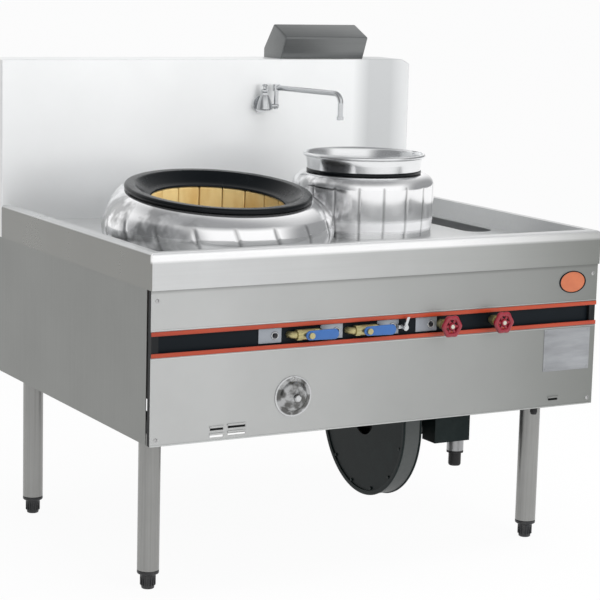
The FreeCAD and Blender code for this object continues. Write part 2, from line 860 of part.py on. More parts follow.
# Flue ducts: from furnace to pot well, and from the well up through the splashback box.
def flue_duct():
    link = duct_to_pot(0.0).cut(duct_to_pot(-sheet, 50.0).fuse(duct_to_pot(-sheet, -50.0)))
    furnace = rod((*wok_axis, furnace_bottom), (*wok_axis, rim_height), shell_radius + 0.2)
    well = rod((*pot_axis, well_bottom), (*pot_axis, rim_height), well_radius + 0.2)
    long_core = duct_to_pot(-sheet, 80.0)
    long_core.translate(V(10.0, 0, 0))
    link = link.cut(long_core).cut(furnace).cut(well)
    left, right = rear_duct_xs(0.0)
    y0, y1 = flue_ys()
    low, high = duct_bottom, duct_bottom + duct_height
    back = box(left, right, pot_y, y0 + 2.0, low, high)
    back_core = box(left + sheet, right - sheet, pot_y - PAD, y0 + PAD, low + sheet, high - sheet)
    stack = box(flue_left, flue_left + flue_width, y0, y1, low - 10.0, splash_top - sheet)
    stack_core = box(flue_left + sheet, flue_left + flue_width - sheet, y0 + sheet, y1 - sheet,
                     low - 10.0 + sheet, splash_top + PAD)
    rear_part = back.fuse(stack).removeSplitter().cut(stack_core).cut(back_core).cut(well)
    return [link, rear_part]


# Flue cap: folded hood with a slanted lid, leaning front and an opening in its rear slope.
def cap_outline(inset):
    base = splash_front + cap_base_offset
    lean = base - cap_front_lean
    ridge = base + cap_ridge_back
    back = rear - cap_rear_inset
    z = splash_top
    return [(0, base + inset, z - inset * 4), (0, lean + inset * 1.3, z + cap_front_rise - inset * 0.5),
            (0, ridge, z + cap_ridge_rise - inset * 1.3), (0, back - inset, z + cap_rear_rise - inset * 0.3),
            (0, back - inset, z - inset * 4)]


def flue_cap():
    width = flue_width + 2 * cap_overhang
    left = flue_left - cap_overhang
    outside = prism(cap_outline(0.0), (width, 0, 0))
    inside = prism(cap_outline(sheet), (width - 2 * sheet, 0, 0))
    inside.translate(V(sheet, 0, 0))
    cap = outside.cut(inside)
    window = box(20.0, width - 20.0, splash_front + cap_base_offset + cap_ridge_back + 12.0, rear + PAD,
                 splash_top + cap_rear_rise + 8.0, splash_top + cap_ridge_rise - 14.0)
    cap = cap.cut(window)
    cap.translate(V(left, 0, 0))
    return cap


# Pot well: drum under the pan with the openings of the two flue ducts.
def pot_well():
    well = rod((*pot_axis, well_bottom), (*pot_axis, pan_under), well_radius)
    well = well.cut(rod((*pot_axis, well_bottom + sheet), (*pot_axis, pan_under + PAD), well_radius - sheet))
    low = duct_bottom
    back = box(*rear_duct_xs(0.3), pot_y, pot_y + 2 * well_radius, low - 0.3, low + duct_height + 0.3)
    return well.cut(duct_to_pot(0.3)).cut(back)


def housing_form(inset, foot):
    """Bulging drum with a rounded shoulder that closes in towards the pot."""
    shoulder = housing_top - 46.0
    radius = housing_radius - inset
    mouth = support_inner - 2.0
    return turned(pot_axis, (mouth - inset, foot), (radius - 4.0, foot), (radius - 4.0, pan_floor + 8.0),
                  ((radius - 1.0, pan_floor + 60.0), (radius, shoulder)),
                  ((radius - 9.0, housing_top - 16.0 - inset * 0.7),
                   (support_outer - 3.0, housing_top - inset)),
                  (mouth - inset, housing_top - inset))


# Pot housing: bright drum that carries the support ring, scored with upright grooves.
def pot_housing():
    outer = housing_form(0.0, pan_floor)
    core = housing_form(housing_wall, pan_floor - PAD)
    core = core.fuse(rod((*pot_axis, pan_floor - PAD), (*pot_axis, housing_top - housing_wall),
                         support_inner))
    mouth = rod((*pot_axis, housing_top - PAD), (*pot_axis, housing_top + PAD), support_inner - 2.0)
    drum = outer.cut(core.removeSplitter()).cut(mouth)
    skin = housing_form(groove_depth, pan_floor - PAD)
    blade = box(pot_x + support_outer + 10.0, pot_x + housing_radius + 20.0, pot_y - groove_width / 2,
                pot_y + groove_width / 2, pan_floor + 3.0, housing_top - 30.0)
    blades = [about(blade, pot_axis, housing_groove_start + 360.0 * step / housing_grooves)
              for step in range(housing_grooves)]
    return drum.cut([score.cut(skin) for score in blades])


# Support ring: black cast ring on the housing that carries the pot.
def pot_support_ring():
    z = housing_top
    return turned(pot_axis, (support_inner, z), (support_outer - 2.0, z), (support_outer, z + 2.0),
                  (support_outer, z + support_height - 2.0), (support_outer - 2.0, z + support_height),
                  (support_inner, z + support_height))


# Warm pot: deep basin with a flared wall and a rolled rim, hung on the support ring.
def warm_pot():
    seat = housing_top + support_height + seat_gap
    low = pot_rim_height - pot_depth
    body = pot_body_radius
    rim = pot_rim_radius
    roll = 5.0
    t = pot_wall
    flare = support_outer - 2.0
    return turned(pot_axis, (0, low), (body - 30.0, low), ((body - 8.8, low + 8.8), (body, low + 30.0)),
                  (body, seat - 0.2), (body + 4.0, seat), (flare, seat),
                  (rim - 2 * roll + 2.0, pot_rim_height - 2 * roll + 2.0),
                  ((rim, pot_rim_height - roll), (rim - roll, pot_rim_height)),
                  (rim - 2 * roll, pot_rim_height - roll), (flare - t, seat + t), (body + 4.0, seat + t),
                  (body - t, seat - 2.0), (body - t, low + 30.0),
                  ((body - 8.8 - t, low + 8.8 + t), (body - 30.0, low + t)), (0, low + t))


# Gas manifold: header behind the channel with drops to the valves, run back to the inlet.
def gas_manifold():
    z = manifold_height
    left = valve_positions[0] - valve_reach
    run = pipe_run([(left - 20.0, pipe_y, z), (side_pipe_x, pipe_y, z),
                    (side_pipe_x, rear + inlet_reach, z)],
                   manifold_radius, pipe_wall)
    cap = rod((left - 20.0 - pipe_cap, pipe_y, z), (left - 20.0, pipe_y, z), manifold_radius)
    drop_low = control_height - valve_pipe_radius
    drops = [rod((x - valve_reach, pipe_y, drop_low), (x - valve_reach, pipe_y, z), valve_pipe_radius)
             for x in valve_positions]
    drops.append(rod((pilot_x, pipe_y, drop_low), (pilot_x, pipe_y, z), valve_pipe_radius))
    core = rod((left - 20.0, pipe_y, z), (pilot_x + 2 * valve_pipe_radius, pipe_y, z),
               manifold_radius - pipe_wall)
    return fused([run, cap] + drops).cut(core).cut(thread_relief(side_pipe_x, z, manifold_radius))


# Gas valve bodies: brass ball valves on short loops that come out of the channel.
def gas_valve_bodies():
    z = control_height
    y = valve_y
    solids = []
    for x in valve_positions:
        body = rod((x - 28.0, y, z), (x + 28.0, y, z), valve_body_radius)
        parts = [pipe_run([(x - valve_reach, pipe_y - valve_pipe_radius - joint_gap, z),
                           (x - valve_reach, y, z),
                           (x + valve_reach, y, z), (x + valve_reach, pipe_y - feed_radius - joint_gap, z)],
                          valve_pipe_radius)]
        for side in (-1, 1):
            parts.append(nut((x + side * 16.0, y, z), valve_nut_radius, side * 12.5, "x"))
        parts.append(rod((x, y, z), (x, lever_back + 1.0, z), 8.0))
        parts.append(rod((x, y, z), (x, lever_front - 3.0, z), stem_radius))
        parts.append(rod((x, lever_front - 5.0, z), (x, lever_front - seat_gap, z), 7.0))
        solids.append(body.fuse(parts))
    return solids


# Lever of a gas valve: blue handle that points right when closed and swings up.
def gas_lever(x):
    z = control_height
    half = lever_height / 2
    y0, y1 = lever_front, lever_back
    hub = rod((x, y0, z), (x, y1, z), half + 1.5)
    arm = box(x, x + lever_length - half, y0, y1, z - half, z + half)
    tip = rod((x + lever_length - half, y0, z), (x + lever_length - half, y1, z), half)
    lever = fused([hub, arm, tip])
    return lever.cut(rod((x, y0 - PAD, z), (x, y1 + PAD, z), stem_radius + bore_clearance))


# Pilot valve: small bright angle valve with a thumb lever.
def pilot_valve_body():
    z = control_height
    parts = [rod((pilot_x, panel_front - 4.0, z), (pilot_x, pipe_y - valve_pipe_radius - joint_gap, z), 7.0),
             rod((pilot_x - 13.0, panel_front + 1.5, z), (pilot_x + 13.0, panel_front + 1.5, z), 5.5),
             rod((pilot_x, panel_front - 4.0, z), (pilot_x, panel_front - 18.0, z), 3.0),
             rod((pilot_x, panel_front - 16.0, z), (pilot_x, panel_front - 18.0, z), 5.0)]
    return fused(parts)


def pilot_lever():
    z = control_height
    y0, y1 = panel_front - 16.0 + seat_gap, panel_front - 4.0 - seat_gap
    hub = rod((pilot_x, y0, z), (pilot_x, y1, z), 7.0)
    blade = prism([(pilot_x - 3.5, y0 + 3.0, z), (pilot_x + 3.5, y0 + 3.0, z),
                   (pilot_x + 12.0, y0 + 3.0, z + pilot_lever_length),
                   (pilot_x + 5.0, y0 + 3.0, z + pilot_lever_length)], (0, 4.0, 0))
    lever = fused([hub, blade])
    return lever.cut(rod((pilot_x, y0 - PAD, z), (pilot_x, y1 + PAD, z), 3.0 + bore_clearance))


# Feed pipes: the two valve outlets join and run to the burner, a thin pilot pipe beside them.
def burner_feed_pipes():
    z = control_height
    second_x = valve_positions[1] + valve_reach
    end_y = wok_y - math.sqrt(burner_radius ** 2 - (feed_x - wok_x) ** 2)
    main = pipe_run([(feed_x, pipe_y, z + 8.0), (feed_x, pipe_y, feed_height),
                     (feed_x, end_y + 6.0, feed_height)], feed_radius)
    branch = pipe_run([(second_x, pipe_y, z + 8.0), (second_x, pipe_y, feed_tee_height),
                       (feed_x, pipe_y, feed_tee_height)], feed_radius)
    burner = rod((*wok_axis, furnace_bottom), (*wok_axis, hearth_height), burner_radius + 0.1)
    thin_x = pilot_x + 22.0
    thin_y = pipe_y - 20.0
    pilot = pipe_run([(thin_x, thin_y, z - 16.0), (thin_x, thin_y, pilot_run_height),
                      (pilot_end_x, thin_y, pilot_run_height),
                      (pilot_end_x, wok_y - burner_radius - 16.0, pilot_run_height)], pilot_radius)
    return [main.fuse(branch).cut(burner), pilot]


# Switch plates: four small bright plates on the floor of the channel.
def switch_plates():
    z = control_height
    y1 = channel_back - sheet
    solids = []
    for x in plate_positions:
        plate = box(x - plate_width / 2, x + plate_width / 2, y1 - plate_thickness, y1,
                    z - plate_height / 2, z + plate_height / 2)
        hole_x = x + button_offset
        plate = plate.cut(rod((hole_x, y1 - PAD, z), (hole_x, y1 + PAD, z),
                              button_radius + button_clearance))
        for pipe_x in (valve_positions[0] + valve_reach, valve_positions[1] + valve_reach, pilot_x):
            plate = plate.cut(rod((pipe_x, y1 - PAD, z), (pipe_x, y1 + PAD, z), valve_pipe_radius + 1.0))
        solids.append(plate)
    return solids


def push_button(x):
    """Round button that slides through its plate into the channel's back."""
    y0 = channel_back - sheet - plate_thickness - button_proud
    button = turned((0, 0), (0, -button_length), (button_radius, -button_length), (button_radius, -1.2),
                    (button_radius - 1.2, 0), (0, 0))
    return facing_cook(button, x + button_offset, y0, control_height)


# Stop valve bodies: brass bonnets that carry the handwheel spindles.
def water_valve_bodies():
    z = control_height
    y = pipe_y - 2.0
    header = rod((handwheel_positions[0] - FAR, y, water_pipe_height), (side_pipe_x, y, water_pipe_height),
                 water_pipe_radius + 0.1)
    solids = []
    for x in handwheel_positions:
        bonnet = rod((x, wheel_back + 1.0, z), (x, y, z), bonnet_radius)
        gland = nut((x, panel_front + 2.0, z), valve_nut_radius, -12.0, "y")
        tail = rod((x, y, z + water_tail_radius), (x, y, water_pipe_height), water_tail_radius)
        bore = rod((x, wheel_back - PAD, z), (x, wheel_back + 24.0, z), spindle_radius + bore_clearance)
        solids.append(fused([bonnet, gland, tail]).cut(bore).cut(header))
    return solids


# Handwheel: lobed red wheel with its spindle and a pale nut.
def handwheel(x):
    z = control_height
    y0 = front - handwheel_reach
    wheel = turned((0, 0), (0, -handwheel_thickness), (10.0, -handwheel_thickness), (10.0, -10.0),
                   (handwheel_radius - 9.0, -9.0), (handwheel_radius - 8.0, -12.0),
                   ((handwheel_radius, -6.5), (handwheel_radius - 8.0, -1.0)),
                   (handwheel_radius - 10.0, -4.0),
                   (10.0, -4.0), (8.0, -1.5), (6.5, 0), (0, 0))
    wheel = facing_cook(wheel, x, y0, z)
    cuts = []
    for step in range(6):
        angle = math.radians(60 * step + 30)
        reach = handwheel_radius + 4.0
        cx, cz = x + reach * math.cos(angle), z + reach * math.sin(angle)
        cuts.append(rod((cx, y0 - PAD, cz), (cx, y0 + handwheel_thickness + PAD, cz), 7.5))
        gap_x, gap_z = x + 14.5 * math.cos(angle), z + 14.5 * math.sin(angle)
        cuts.append(rod((gap_x, y0 - PAD, gap_z), (gap_x, y0 + handwheel_thickness + PAD, gap_z), 3.6))
    spindle = rod((x, y0 + 4.0, z), (x, wheel_back + 23.0, z), spindle_radius)
    return fused([wheel.cut(cuts), spindle])


# Water pipe: from the rear inlet along the right side to the stop valves, capped at its end.
def water_pipe():
    z = water_pipe_height
    y = pipe_y - 2.0
    end = handwheel_positions[0] - 14.0
    run = pipe_run([(end, y, z), (side_pipe_x, y, z), (side_pipe_x, rear + inlet_reach, z)],
                   water_pipe_radius, pipe_wall)
    cap = rod((end - pipe_cap, y, z), (end, y, z), water_pipe_radius)
    return run.fuse(cap).cut(thread_relief(side_pipe_x, z, water_pipe_radius))


# Sight tube from the ignition port to the furnace.
def sight_tube():
    outer = port_radius + port_wall
    y1 = wok_y - math.sqrt((shell_radius - shell_wall) ** 2 - (port_x - wok_x) ** 2) - 1.0
    tube = rod((port_x, panel_back, port_height), (port_x, y1, port_height), outer)
    return tube.cut(rod((port_x, front, port_height), (port_x, wok_y, port_height), port_radius))


# Ignition cover: spun dish with a small knob, hung from its pivot screw.
def ignition_cover():
    g, t = cover_gap, cover_sheet
    dome, rise = cover_dome_radius, cover_dome_rise
    disc = turned((0, 0), (0, g + rise - t), (10.0, g + rise - t),
                  ((dome - 9.0, g + rise - t - 2.6), (dome - 1.5, g)),
                  (cover_radius - 0.8, g), (cover_radius, g + 0.8), (cover_radius - 0.4, g + t),
                  (dome, g + t),
                  ((dome - 7.0, g + rise - 2.6), (10.0, g + rise)), (9.0, g + rise + 1.0),
                  (6.5, g + rise + 2.0), (6.5, g + rise + 5.0),
                  ((10.5, g + rise + 10.0), (7.0, g + rise + 14.5)),
                  (0, g + rise + 15.0))
    cover = facing_cook(disc, port_x, panel_front, port_height)
    z = port_height + cover_pivot_rise
    return cover.cut(rod((port_x, panel_front - 20.0, z), (port_x, panel_front + PAD, z),
                         pivot_radius + bore_clearance))


# Wall tap: bell-shaped body with its supply pipe and the riser that carries the spout.
def tap_body():
    z = tap_foot_height
    r = tap_radius
    top = z + tap_body_height
    bell = turned((tap_x, tap_y), (0, z), (r, z), (r + 1.0, z + 3.0), (r, z + 7.0),
                  ((r - 4.0, z + 24.0), (r - 11.0, top - 6.0)), (r - 11.0, top), (0, top))
    supply = rod((tap_x, tap_y, tap_pipe_height), (tap_x, rear + inlet_reach, tap_pipe_height),
                 water_pipe_radius)
    flange = rod((tap_x, splash_front - 4.0, tap_pipe_height),
                 (tap_x, splash_front - 0.1, tap_pipe_height), r + 1.0)
    riser_x = tap_x + riser_offset
    arm = rod((tap_x, tap_y, z + 10.0), (riser_x, tap_y, z + 10.0), riser_radius)
    riser = rod((riser_x, tap_y, z + 2.0), (riser_x, tap_y, spout_height - spout_radius - 2.0), riser_radius)
    foot = Part.makeSphere(riser_radius + 2.0, V(riser_x, tap_y, z + 10.0))
    body = bell.fuse([supply, flange, arm, riser, foot])
    bore = rod((tap_x, tap_y, top - 18.0), (tap_x, tap_y, top + PAD), 4.0 + bore_clearance)
    pivot = rod((riser_x, tap_y, spout_height - 30.0), (riser_x, tap_y, spout_height), 3.5 + bore_clearance)
    core = rod((tap_x, rear - 60.0, tap_pipe_height), (tap_x, rear + inlet_reach + PAD, tap_pipe_height),
               water_pipe_radius - pipe_wall)
    return body.cut([bore, pivot, core]).cut(thread_relief(tap_x, tap_pipe_height, water_pipe_radius))


def tap_handle():
    z = tap_foot_height + tap_body_height + seat_gap
    return turned((tap_x, tap_y), (0, z - 17.0), (4.0, z - 17.0), (4.0, z), (7.0, z), (10.0, z + 3.0),
                  (10.0, z + 7.0),
                  (5.0, z + 10.0), (5.0, z + 16.0), ((7.5, z + 19.0), (5.0, z + 22.0)), (0, z + 23.0))


# Swing spout: long arm that turns on the riser, bent down at its end.
def swing_spout():
    x, y, z = tap_x + riser_offset, tap_y, spout_height
    angle = math.radians(spout_angle)
    way = V(math.sin(angle), -math.cos(angle), 0)
    here = V(x, y, z)
    straight = here + way * (spout_length - spout_bend)
    middle = math.pi / 4
    corner = straight + way * spout_bend * math.sin(middle) + V(0, 0, -spout_bend * (1 - math.cos(middle)))
    down = straight + way * spout_bend + V(0, 0, -spout_bend)
    low = down + V(0, 0, spout_bend - spout_drop)
    path = Part.Wire([Part.LineSegment(here, straight).toShape(), Part.Arc(straight, corner, down).toShape(),
                      Part.LineSegment(down, low).toShape()])
    ring = Part.Wire(Part.makeCircle(spout_radius, here, way))
    pipe = path.makePipeShell([ring], True, True)
    hub = rod((x, y, z - spout_radius - 2.0 + seat_gap), (x, y, z + spout_radius + 2.0), 10.0)
    pin = rod((x, y, z - 29.0), (x, y, z), 3.5)
    nozzle = rod((low.x, low.y, low.z), (low.x, low.y, low.z - 9.0), spout_radius + 2.0)
    spout = fused([pipe, hub, pin, nozzle])
    return spout.cut(rod((low.x, low.y, low.z - 12.0), (low.x, low.y, low.z + 4.0), spout_radius - 2.0))


def scroll_form(inset):
    """Drum of the blower with its straight outlet neck, made smaller all round by inset."""
    x0, x1 = blower_x + inset, blower_x + scroll_width - inset
    drum = rod((x0, blower_y, blower_height), (x1, blower_y, blower_height), scroll_radius - inset)
    y0 = blower_y - scroll_radius
    neck = box(x0, x1, y0 + inset, y0 + neck_depth - inset, blower_height, neck_top - inset)
    return fused([drum, neck])


# Blower scroll: dark cast casing, open at the intake, the neck and the shaft.
def blower_scroll():
    shell = scroll_form(0.0).cut(scroll_form(scroll_wall))
    intake = rod((blower_x - PAD, blower_y, blower_height), (blower_x + 2 * PAD, blower_y, blower_height),
                 intake_radius)
    outlet = rod((blower_x - PAD, air_duct_y, air_duct_height),
                 (blower_x + 2 * PAD, air_duct_y, air_duct_height),
                 air_duct_radius)
    right = blower_x + scroll_width
    shaft = rod((right - 2 * PAD, blower_y, blower_height), (right + PAD, blower_y, blower_height),
                shaft_radius + 4.0)
    return shell.cut([intake, outlet, shaft])


# Impeller: back plate, hub, blades and the stub that fits the motor.
def blower_impeller():
    x1 = blower_x + scroll_width - scroll_wall - 3.0
    x0 = blower_x + scroll_wall + 4.0
    plate = rod((x1 - 2.0, blower_y, blower_height), (x1, blower_y, blower_height), impeller_radius)
    hub = rod((x0 + 4.0, blower_y, blower_height), (x1, blower_y, blower_height), 22.0)
    stub = rod((x1, blower_y, blower_height), (x1 + 42.0, blower_y, blower_height), shaft_radius)
    parts = [plate, hub, stub]
    for step in range(impeller_blades):
        blade = box(x0, x1 - 1.0, 70.0, impeller_radius - 2.0, -1.25, 1.25)
        blade.rotate(V(0, 0, 0), V(1, 0, 0), 360.0 * step / impeller_blades)
        blade.translate(V(0, blower_y, blower_height))
        parts.append(blade)
    return fused(parts)


# Blower motor: ribbed round motor bolted to the scroll, with its bore for the impeller stub.
def blower_motor():
    x0 = blower_x + scroll_width
    x1 = x0 + motor_length
    y, z = blower_y, blower_height
    flange = rod((x0, y, z), (x0 + 8.0, y, z), motor_radius + 12.0)
    body = rod((x0, y, z), (x1, y, z), motor_radius - 4.0)
    parts = [flange, body]
    for step in range(9):
        rib = x0 + 20.0 + step * 20.0
        parts.append(rod((rib, y, z), (rib + 8.0, y, z), motor_radius))
    motor = fused(parts)
    return motor.cut(rod((x0 - PAD, y, z), (x0 + 45.0, y, z), shaft_radius + bore_clearance))


# Blower bracket: saddle between the motor and the two cross rails above it.
def blower_bracket():
    x0, x1 = blower_rail_xs[0] - rail_width / 2, blower_rail_xs[1] + rail_width / 2
    y, z = blower_y, blower_height
    saddle = box(x0, min(x1, blower_x + scroll_width + motor_length - 4.0), y - 48.0, y + 48.0,
                 z + 20.0, panel_bottom - 6.0)
    saddle = saddle.cut(rod((x0 - PAD, y, z), (x1 + PAD, y, z), motor_radius + 0.2))
    plate = box(x0, x1, y - 64.0, y + 64.0, panel_bottom - 6.0, panel_bottom)
    return saddle.fuse(plate).removeSplitter()


# Junction box: closed case in front of the motor, hung under the cross rail.
def junction_box():
    right = blower_rail_xs[1] + rail_width / 2 + 5.0
    back = blower_y - motor_radius - 5.0
    case = box(right - junction_width, right, back - junction_depth, back,
               panel_bottom - junction_height, panel_bottom)
    hollow = box(right - junction_width + sheet, right - sheet, back - junction_depth + sheet, back - sheet,
                 panel_bottom - junction_height + sheet, panel_bottom - sheet)
    return case.cut(hollow)


# Air duct: round pipe with a flange from the blower neck to the furnace.
def air_duct():
    y, z = air_duct_y, air_duct_height
    inner = shell_radius - shell_wall
    x0 = wok_x + math.sqrt(inner ** 2 - (abs(y - wok_y)) ** 2) + 1.0
    outer = air_duct_radius + 2.0
    tube = fused([rod((x0, y, z), (blower_x, y, z), outer),
                  rod((blower_x - 5.0, y, z), (blower_x, y, z), outer + 2.5)])
    return tube.cut(rod((x0 - PAD, y, z), (blower_x + PAD, y, z), air_duct_radius))


# Cable gland: bare black gland under the front rail, where the supply would enter.
def cable_gland():
    y = front + front_rail_offset + rail_width / 2
    z = panel_bottom
    return turned((gland_x, y), (3.0, z - gland_length), (gland_radius - 3.0, z - gland_length),
                  (gland_radius - 1.0, z - gland_length + 6.0), (gland_radius - 1.0, z - 16.0),
                  (gland_radius + 2.0, z - 14.0), (gland_radius + 2.0, z - 4.0), (gland_radius, z), (3.0, z))


def build():
    os.makedirs("parts", exist_ok=True)
    save("base_frame", *base_frame())
    save("leg_tubes", *leg_tubes())
    corners = {"front_left": (-leg_x, leg_ys[0]), "front_right": (leg_x, leg_ys[0]),
               "rear_left": (-leg_x, leg_ys[1]), "rear_right": (leg_x, leg_ys[1])}
    for name, place in corners.items():
        save("foot_" + name, levelling_foot(*place))
    save("worktop", worktop())
    save("drain_trough", drain_trough())
    save("drain_strainer", drain_strainer())
    save("drain_pipe", drain_pipe())
    save("drain_sleeve", drain_sleeve())
    save("splash_panel", splash_panel())
    save("rear_panel", rear_panel())
    save("side_panels", side_panel(-1), side_panel(1))
    save("upper_front_panel", upper_front_panel())
    save("lower_front_panel", lower_front_panel())
    save("control_channel", control_channel())
    save("control_trims", *control_trims())
    save("badge_plate", badge_plate())
    save("data_plate", data_plate())
    save("panel_screws", *panel_screws())
    save("furnace_shell", furnace_shell())
    save("refractory_lining", *refractory_lining())
    save("burner_head", burner_head())
    save("wok_collar", wok_collar())
    save("wok_ring", wok_ring())
    save("flue_duct", *flue_duct())
    save("flue_cap", flue_cap())
    save("pot_well", pot_well())
    save("pot_housing", pot_housing())
    save("pot_support_ring", pot_support_ring())
    save("warm_pot", warm_pot())
    save("gas_manifold", gas_manifold())
    save("gas_valve_bodies", *gas_valve_bodies())
    for name, x in zip(("left", "right"), valve_positions):
        save("gas_lever_" + name, gas_lever(x))
    save("pilot_valve_body", pilot_valve_body())
    save("pilot_lever", pilot_lever())
    save("burner_feed_pipes", *burner_feed_pipes())
    save("switch_plates", *switch_plates())
    for number, x in enumerate(plate_positions, 1):
        save("push_button_" + str(number), push_button(x))
    save("water_valve_bodies", *water_valve_bodies())
    for name, x in zip(("left", "right"), handwheel_positions):
        save("handwheel_" + name, handwheel(x))
    save("water_pipe", water_pipe())
    save("sight_tube", sight_tube())
    save("ignition_cover", ignition_cover())
    save("tap_body", tap_body())
    save("tap_handle", tap_handle())
    save("swing_spout", swing_spout())
    save("blower_scroll", blower_scroll())
    save("blower_impeller", blower_impeller())
    save("blower_motor", blower_motor())
    save("blower_bracket", blower_bracket())
    save("junction_box", junction_box())
    save("air_duct", air_duct())
    save("cable_gland", cable_gland())


build()
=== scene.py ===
import math
import bpy
from mathutils import Matrix, Vector, noise


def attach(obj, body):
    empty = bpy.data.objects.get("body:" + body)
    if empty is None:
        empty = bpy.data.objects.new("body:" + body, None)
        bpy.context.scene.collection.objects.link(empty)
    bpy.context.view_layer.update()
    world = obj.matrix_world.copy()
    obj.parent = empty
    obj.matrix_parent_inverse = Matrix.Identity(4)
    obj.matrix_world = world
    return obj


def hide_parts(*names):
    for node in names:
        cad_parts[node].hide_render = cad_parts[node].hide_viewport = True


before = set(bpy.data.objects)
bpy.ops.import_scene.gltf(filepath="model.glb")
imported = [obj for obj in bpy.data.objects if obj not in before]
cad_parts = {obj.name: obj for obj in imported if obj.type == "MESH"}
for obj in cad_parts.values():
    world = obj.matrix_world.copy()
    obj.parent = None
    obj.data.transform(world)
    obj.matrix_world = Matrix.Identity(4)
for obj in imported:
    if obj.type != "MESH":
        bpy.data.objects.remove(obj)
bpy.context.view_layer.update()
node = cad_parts
bpy.ops.object.select_all(action="DESELECT")


# ---------------------------------------------------------------------------
# Frame rails. The range stands on a black painted frame of square tube, welded
# at the corners and closed in by the panels.
# ---------------------------------------------------------------------------
MM = 0.001


def paint(red, green, blue):
    """A screen colour, 0 to 255, as the light it stands for."""
    return tuple((v / 255 / 12.92 if v < 10 else ((v / 255 + 0.055) / 1.055) ** 2.4)
                 for v in (red, green, blue)) + (1.0,)


class Value:
    """A number that changes over a surface. Sums and products of values add their own nodes."""

    def __init__(self, finish, socket):
        self.finish = finish
        self.socket = socket

    def step(self, operation, first, second):
        return self.finish.add("Math", {"operation": operation}, [first, second])

    def __add__(self, other):
        return self.step("ADD", self, other)

    def __sub__(self, other):
        return self.step("SUBTRACT", self, other)

    def __rsub__(self, other):
        return self.step("SUBTRACT", other, self)

    def __mul__(self, other):
        return self.step("MULTIPLY", self, other)

    __radd__ = __add__


class Finish:
    """One surface finish: its shader and the nodes that vary it."""

    def __init__(self, name, colour, roughness, metallic=0.0, **fixed):
        self.material = bpy.data.materials.new(name)
        self.material.use_nodes = True
        self.tree = self.material.node_tree
        self.shader = self.tree.nodes["Principled BSDF"]
        self.colour = colour
        self.set("Base Color", colour)
        self.set("Roughness", roughness)
        self.set("Metallic", metallic)
        for key, value in fixed.items():
            self.set(key.replace("_", " "), value)
        self.place = self.add("TexCoord", output="Object")

    def add(self, kind, settings=None, values=(), output=0):
        made = self.tree.nodes.new("ShaderNode" + kind)
        for key, value in (settings or {}).items():
            setattr(made, key, value)
        pairs = values.items() if isinstance(values, dict) else enumerate(values)
        for key, value in pairs:
            if isinstance(value, Value):
                self.tree.links.new(value.socket, made.inputs[key])
            else:
                made.inputs[key].default_value = value
        return Value(self, made.outputs[output])

    def set(self, key, value):
        if isinstance(value, Value):
            self.tree.links.new(value.socket, self.shader.inputs[key])
        else:
            self.shader.inputs[key].default_value = value

    def noise(self, scale, stretch=(1, 1, 1), detail=2.0, rough=0.5):
        """Cloudy pattern from 0 to 1, drawn out along the axes with a small stretch value."""
        spot = self.add("Mapping", {}, {"Vector": self.place, "Scale": stretch})
        return self.add("TexNoise", {}, {"Vector": spot, "Scale": scale, "Detail": detail,
                                         "Roughness": rough})

    def share(self, value, low, high):
        """The value spread from 0 to 1 between two limits."""
        return self.add("MapRange", {"clamp": True}, [value, low, high, 0.0, 1.0])

    def along(self, axis, low, high):
        """0 to 1 along an axis of the range, between two places in millimetres."""
        axes = self.add("SeparateXYZ", {}, [self.place], "XYZ".index(axis))
        return self.share(axes, low * MM, high * MM)

    def mix(self, share, first, second):
        """One colour turning into another."""
        return self.add("Mix", {"data_type": "RGBA"}, {0: share, 6: first, 7: second}, output=2)

    def tint(self, share, other):
        """Turn part of the finish's own colour into another one."""
        self.colour = self.mix(share, self.colour, other)
        self.set("Base Color", self.colour)

    def bump(self, height, strength, depth):
        normal = self.add("Bump", {}, {"Height": height, "Strength": strength, "Distance": depth})
        self.set("Normal", normal)

    def coat_on(self, *pieces):
        for piece in pieces:
            piece.data.materials.clear()
            piece.data.materials.append(self.material)


def smooth(piece, angle=35):
    """Round edges look round, and edges sharper than the angle stay crisp."""
    bpy.ops.object.select_all(action="DESELECT")
    piece.select_set(True)
    bpy.context.view_layer.objects.active = piece
    bpy.ops.object.shade_smooth_by_angle(angle=math.radians(angle))
    piece.select_set(False)


def show(name, finish, angle=None):
    """Put a finish on a piece of the frame as it is."""
    finish.coat_on(node[name])
    if angle:
        smooth(node[name], angle)


black_paint = Finish("black_frame_paint", paint(24, 26, 28), 0.5, 0.0, Specular_IOR_Level=0.25)
dust = black_paint.noise(14.0, (1, 1, 1), 5.0, 0.7)
black_paint.tint(black_paint.share(dust, 0.5, 0.8) * 0.5, paint(62, 60, 58))
black_paint.bump(black_paint.noise(160.0), 0.12, 0.0006)
show("base_frame", black_paint)


# ---------------------------------------------------------------------------
# Legs and feet. Four brushed stainless tubes, each with a weld bead under the
# rail and a black moulded foot with grip ribs, which screws out to level it.
# ---------------------------------------------------------------------------
LEG_X = 526
LEG_FRONT_Y = -348.5
LEG_REAR_Y = 360.5
LEG_RADIUS = 25.5
LEG_TOP = 371


def steel(name, tone, roughness, stretch=(1, 1, 1), metallic=0.9, grain=0.3, stain=0.3, waves=0.0,
          dark=0.85):
    """Stainless steel: grain drawn along the axis with the smallest stretch value, clouds from
    handling and cleaning, and a slow unevenness that bends what the sheet reflects."""
    finish = Finish(name, paint(*tone), roughness, metallic)
    shade = paint(*[v * dark for v in tone])
    lines = finish.noise(1.0, stretch, 3.0, 0.6)
    clouds = finish.noise(4.0, (1, 1, 1), 4.0, 0.6)
    finish.tint(finish.share(lines, 0.35, 0.75) * grain + finish.share(clouds, 0.42, 0.8) * stain, shade)
    finish.set("Roughness", lines * 0.06 + clouds * 0.12 + (roughness - 0.09))
    swell = finish.noise(2.6, (1, 1, 1), 1.0, 0.4)
    finish.bump(lines * 0.03 + swell * waves, 0.5, 0.001)
    return finish


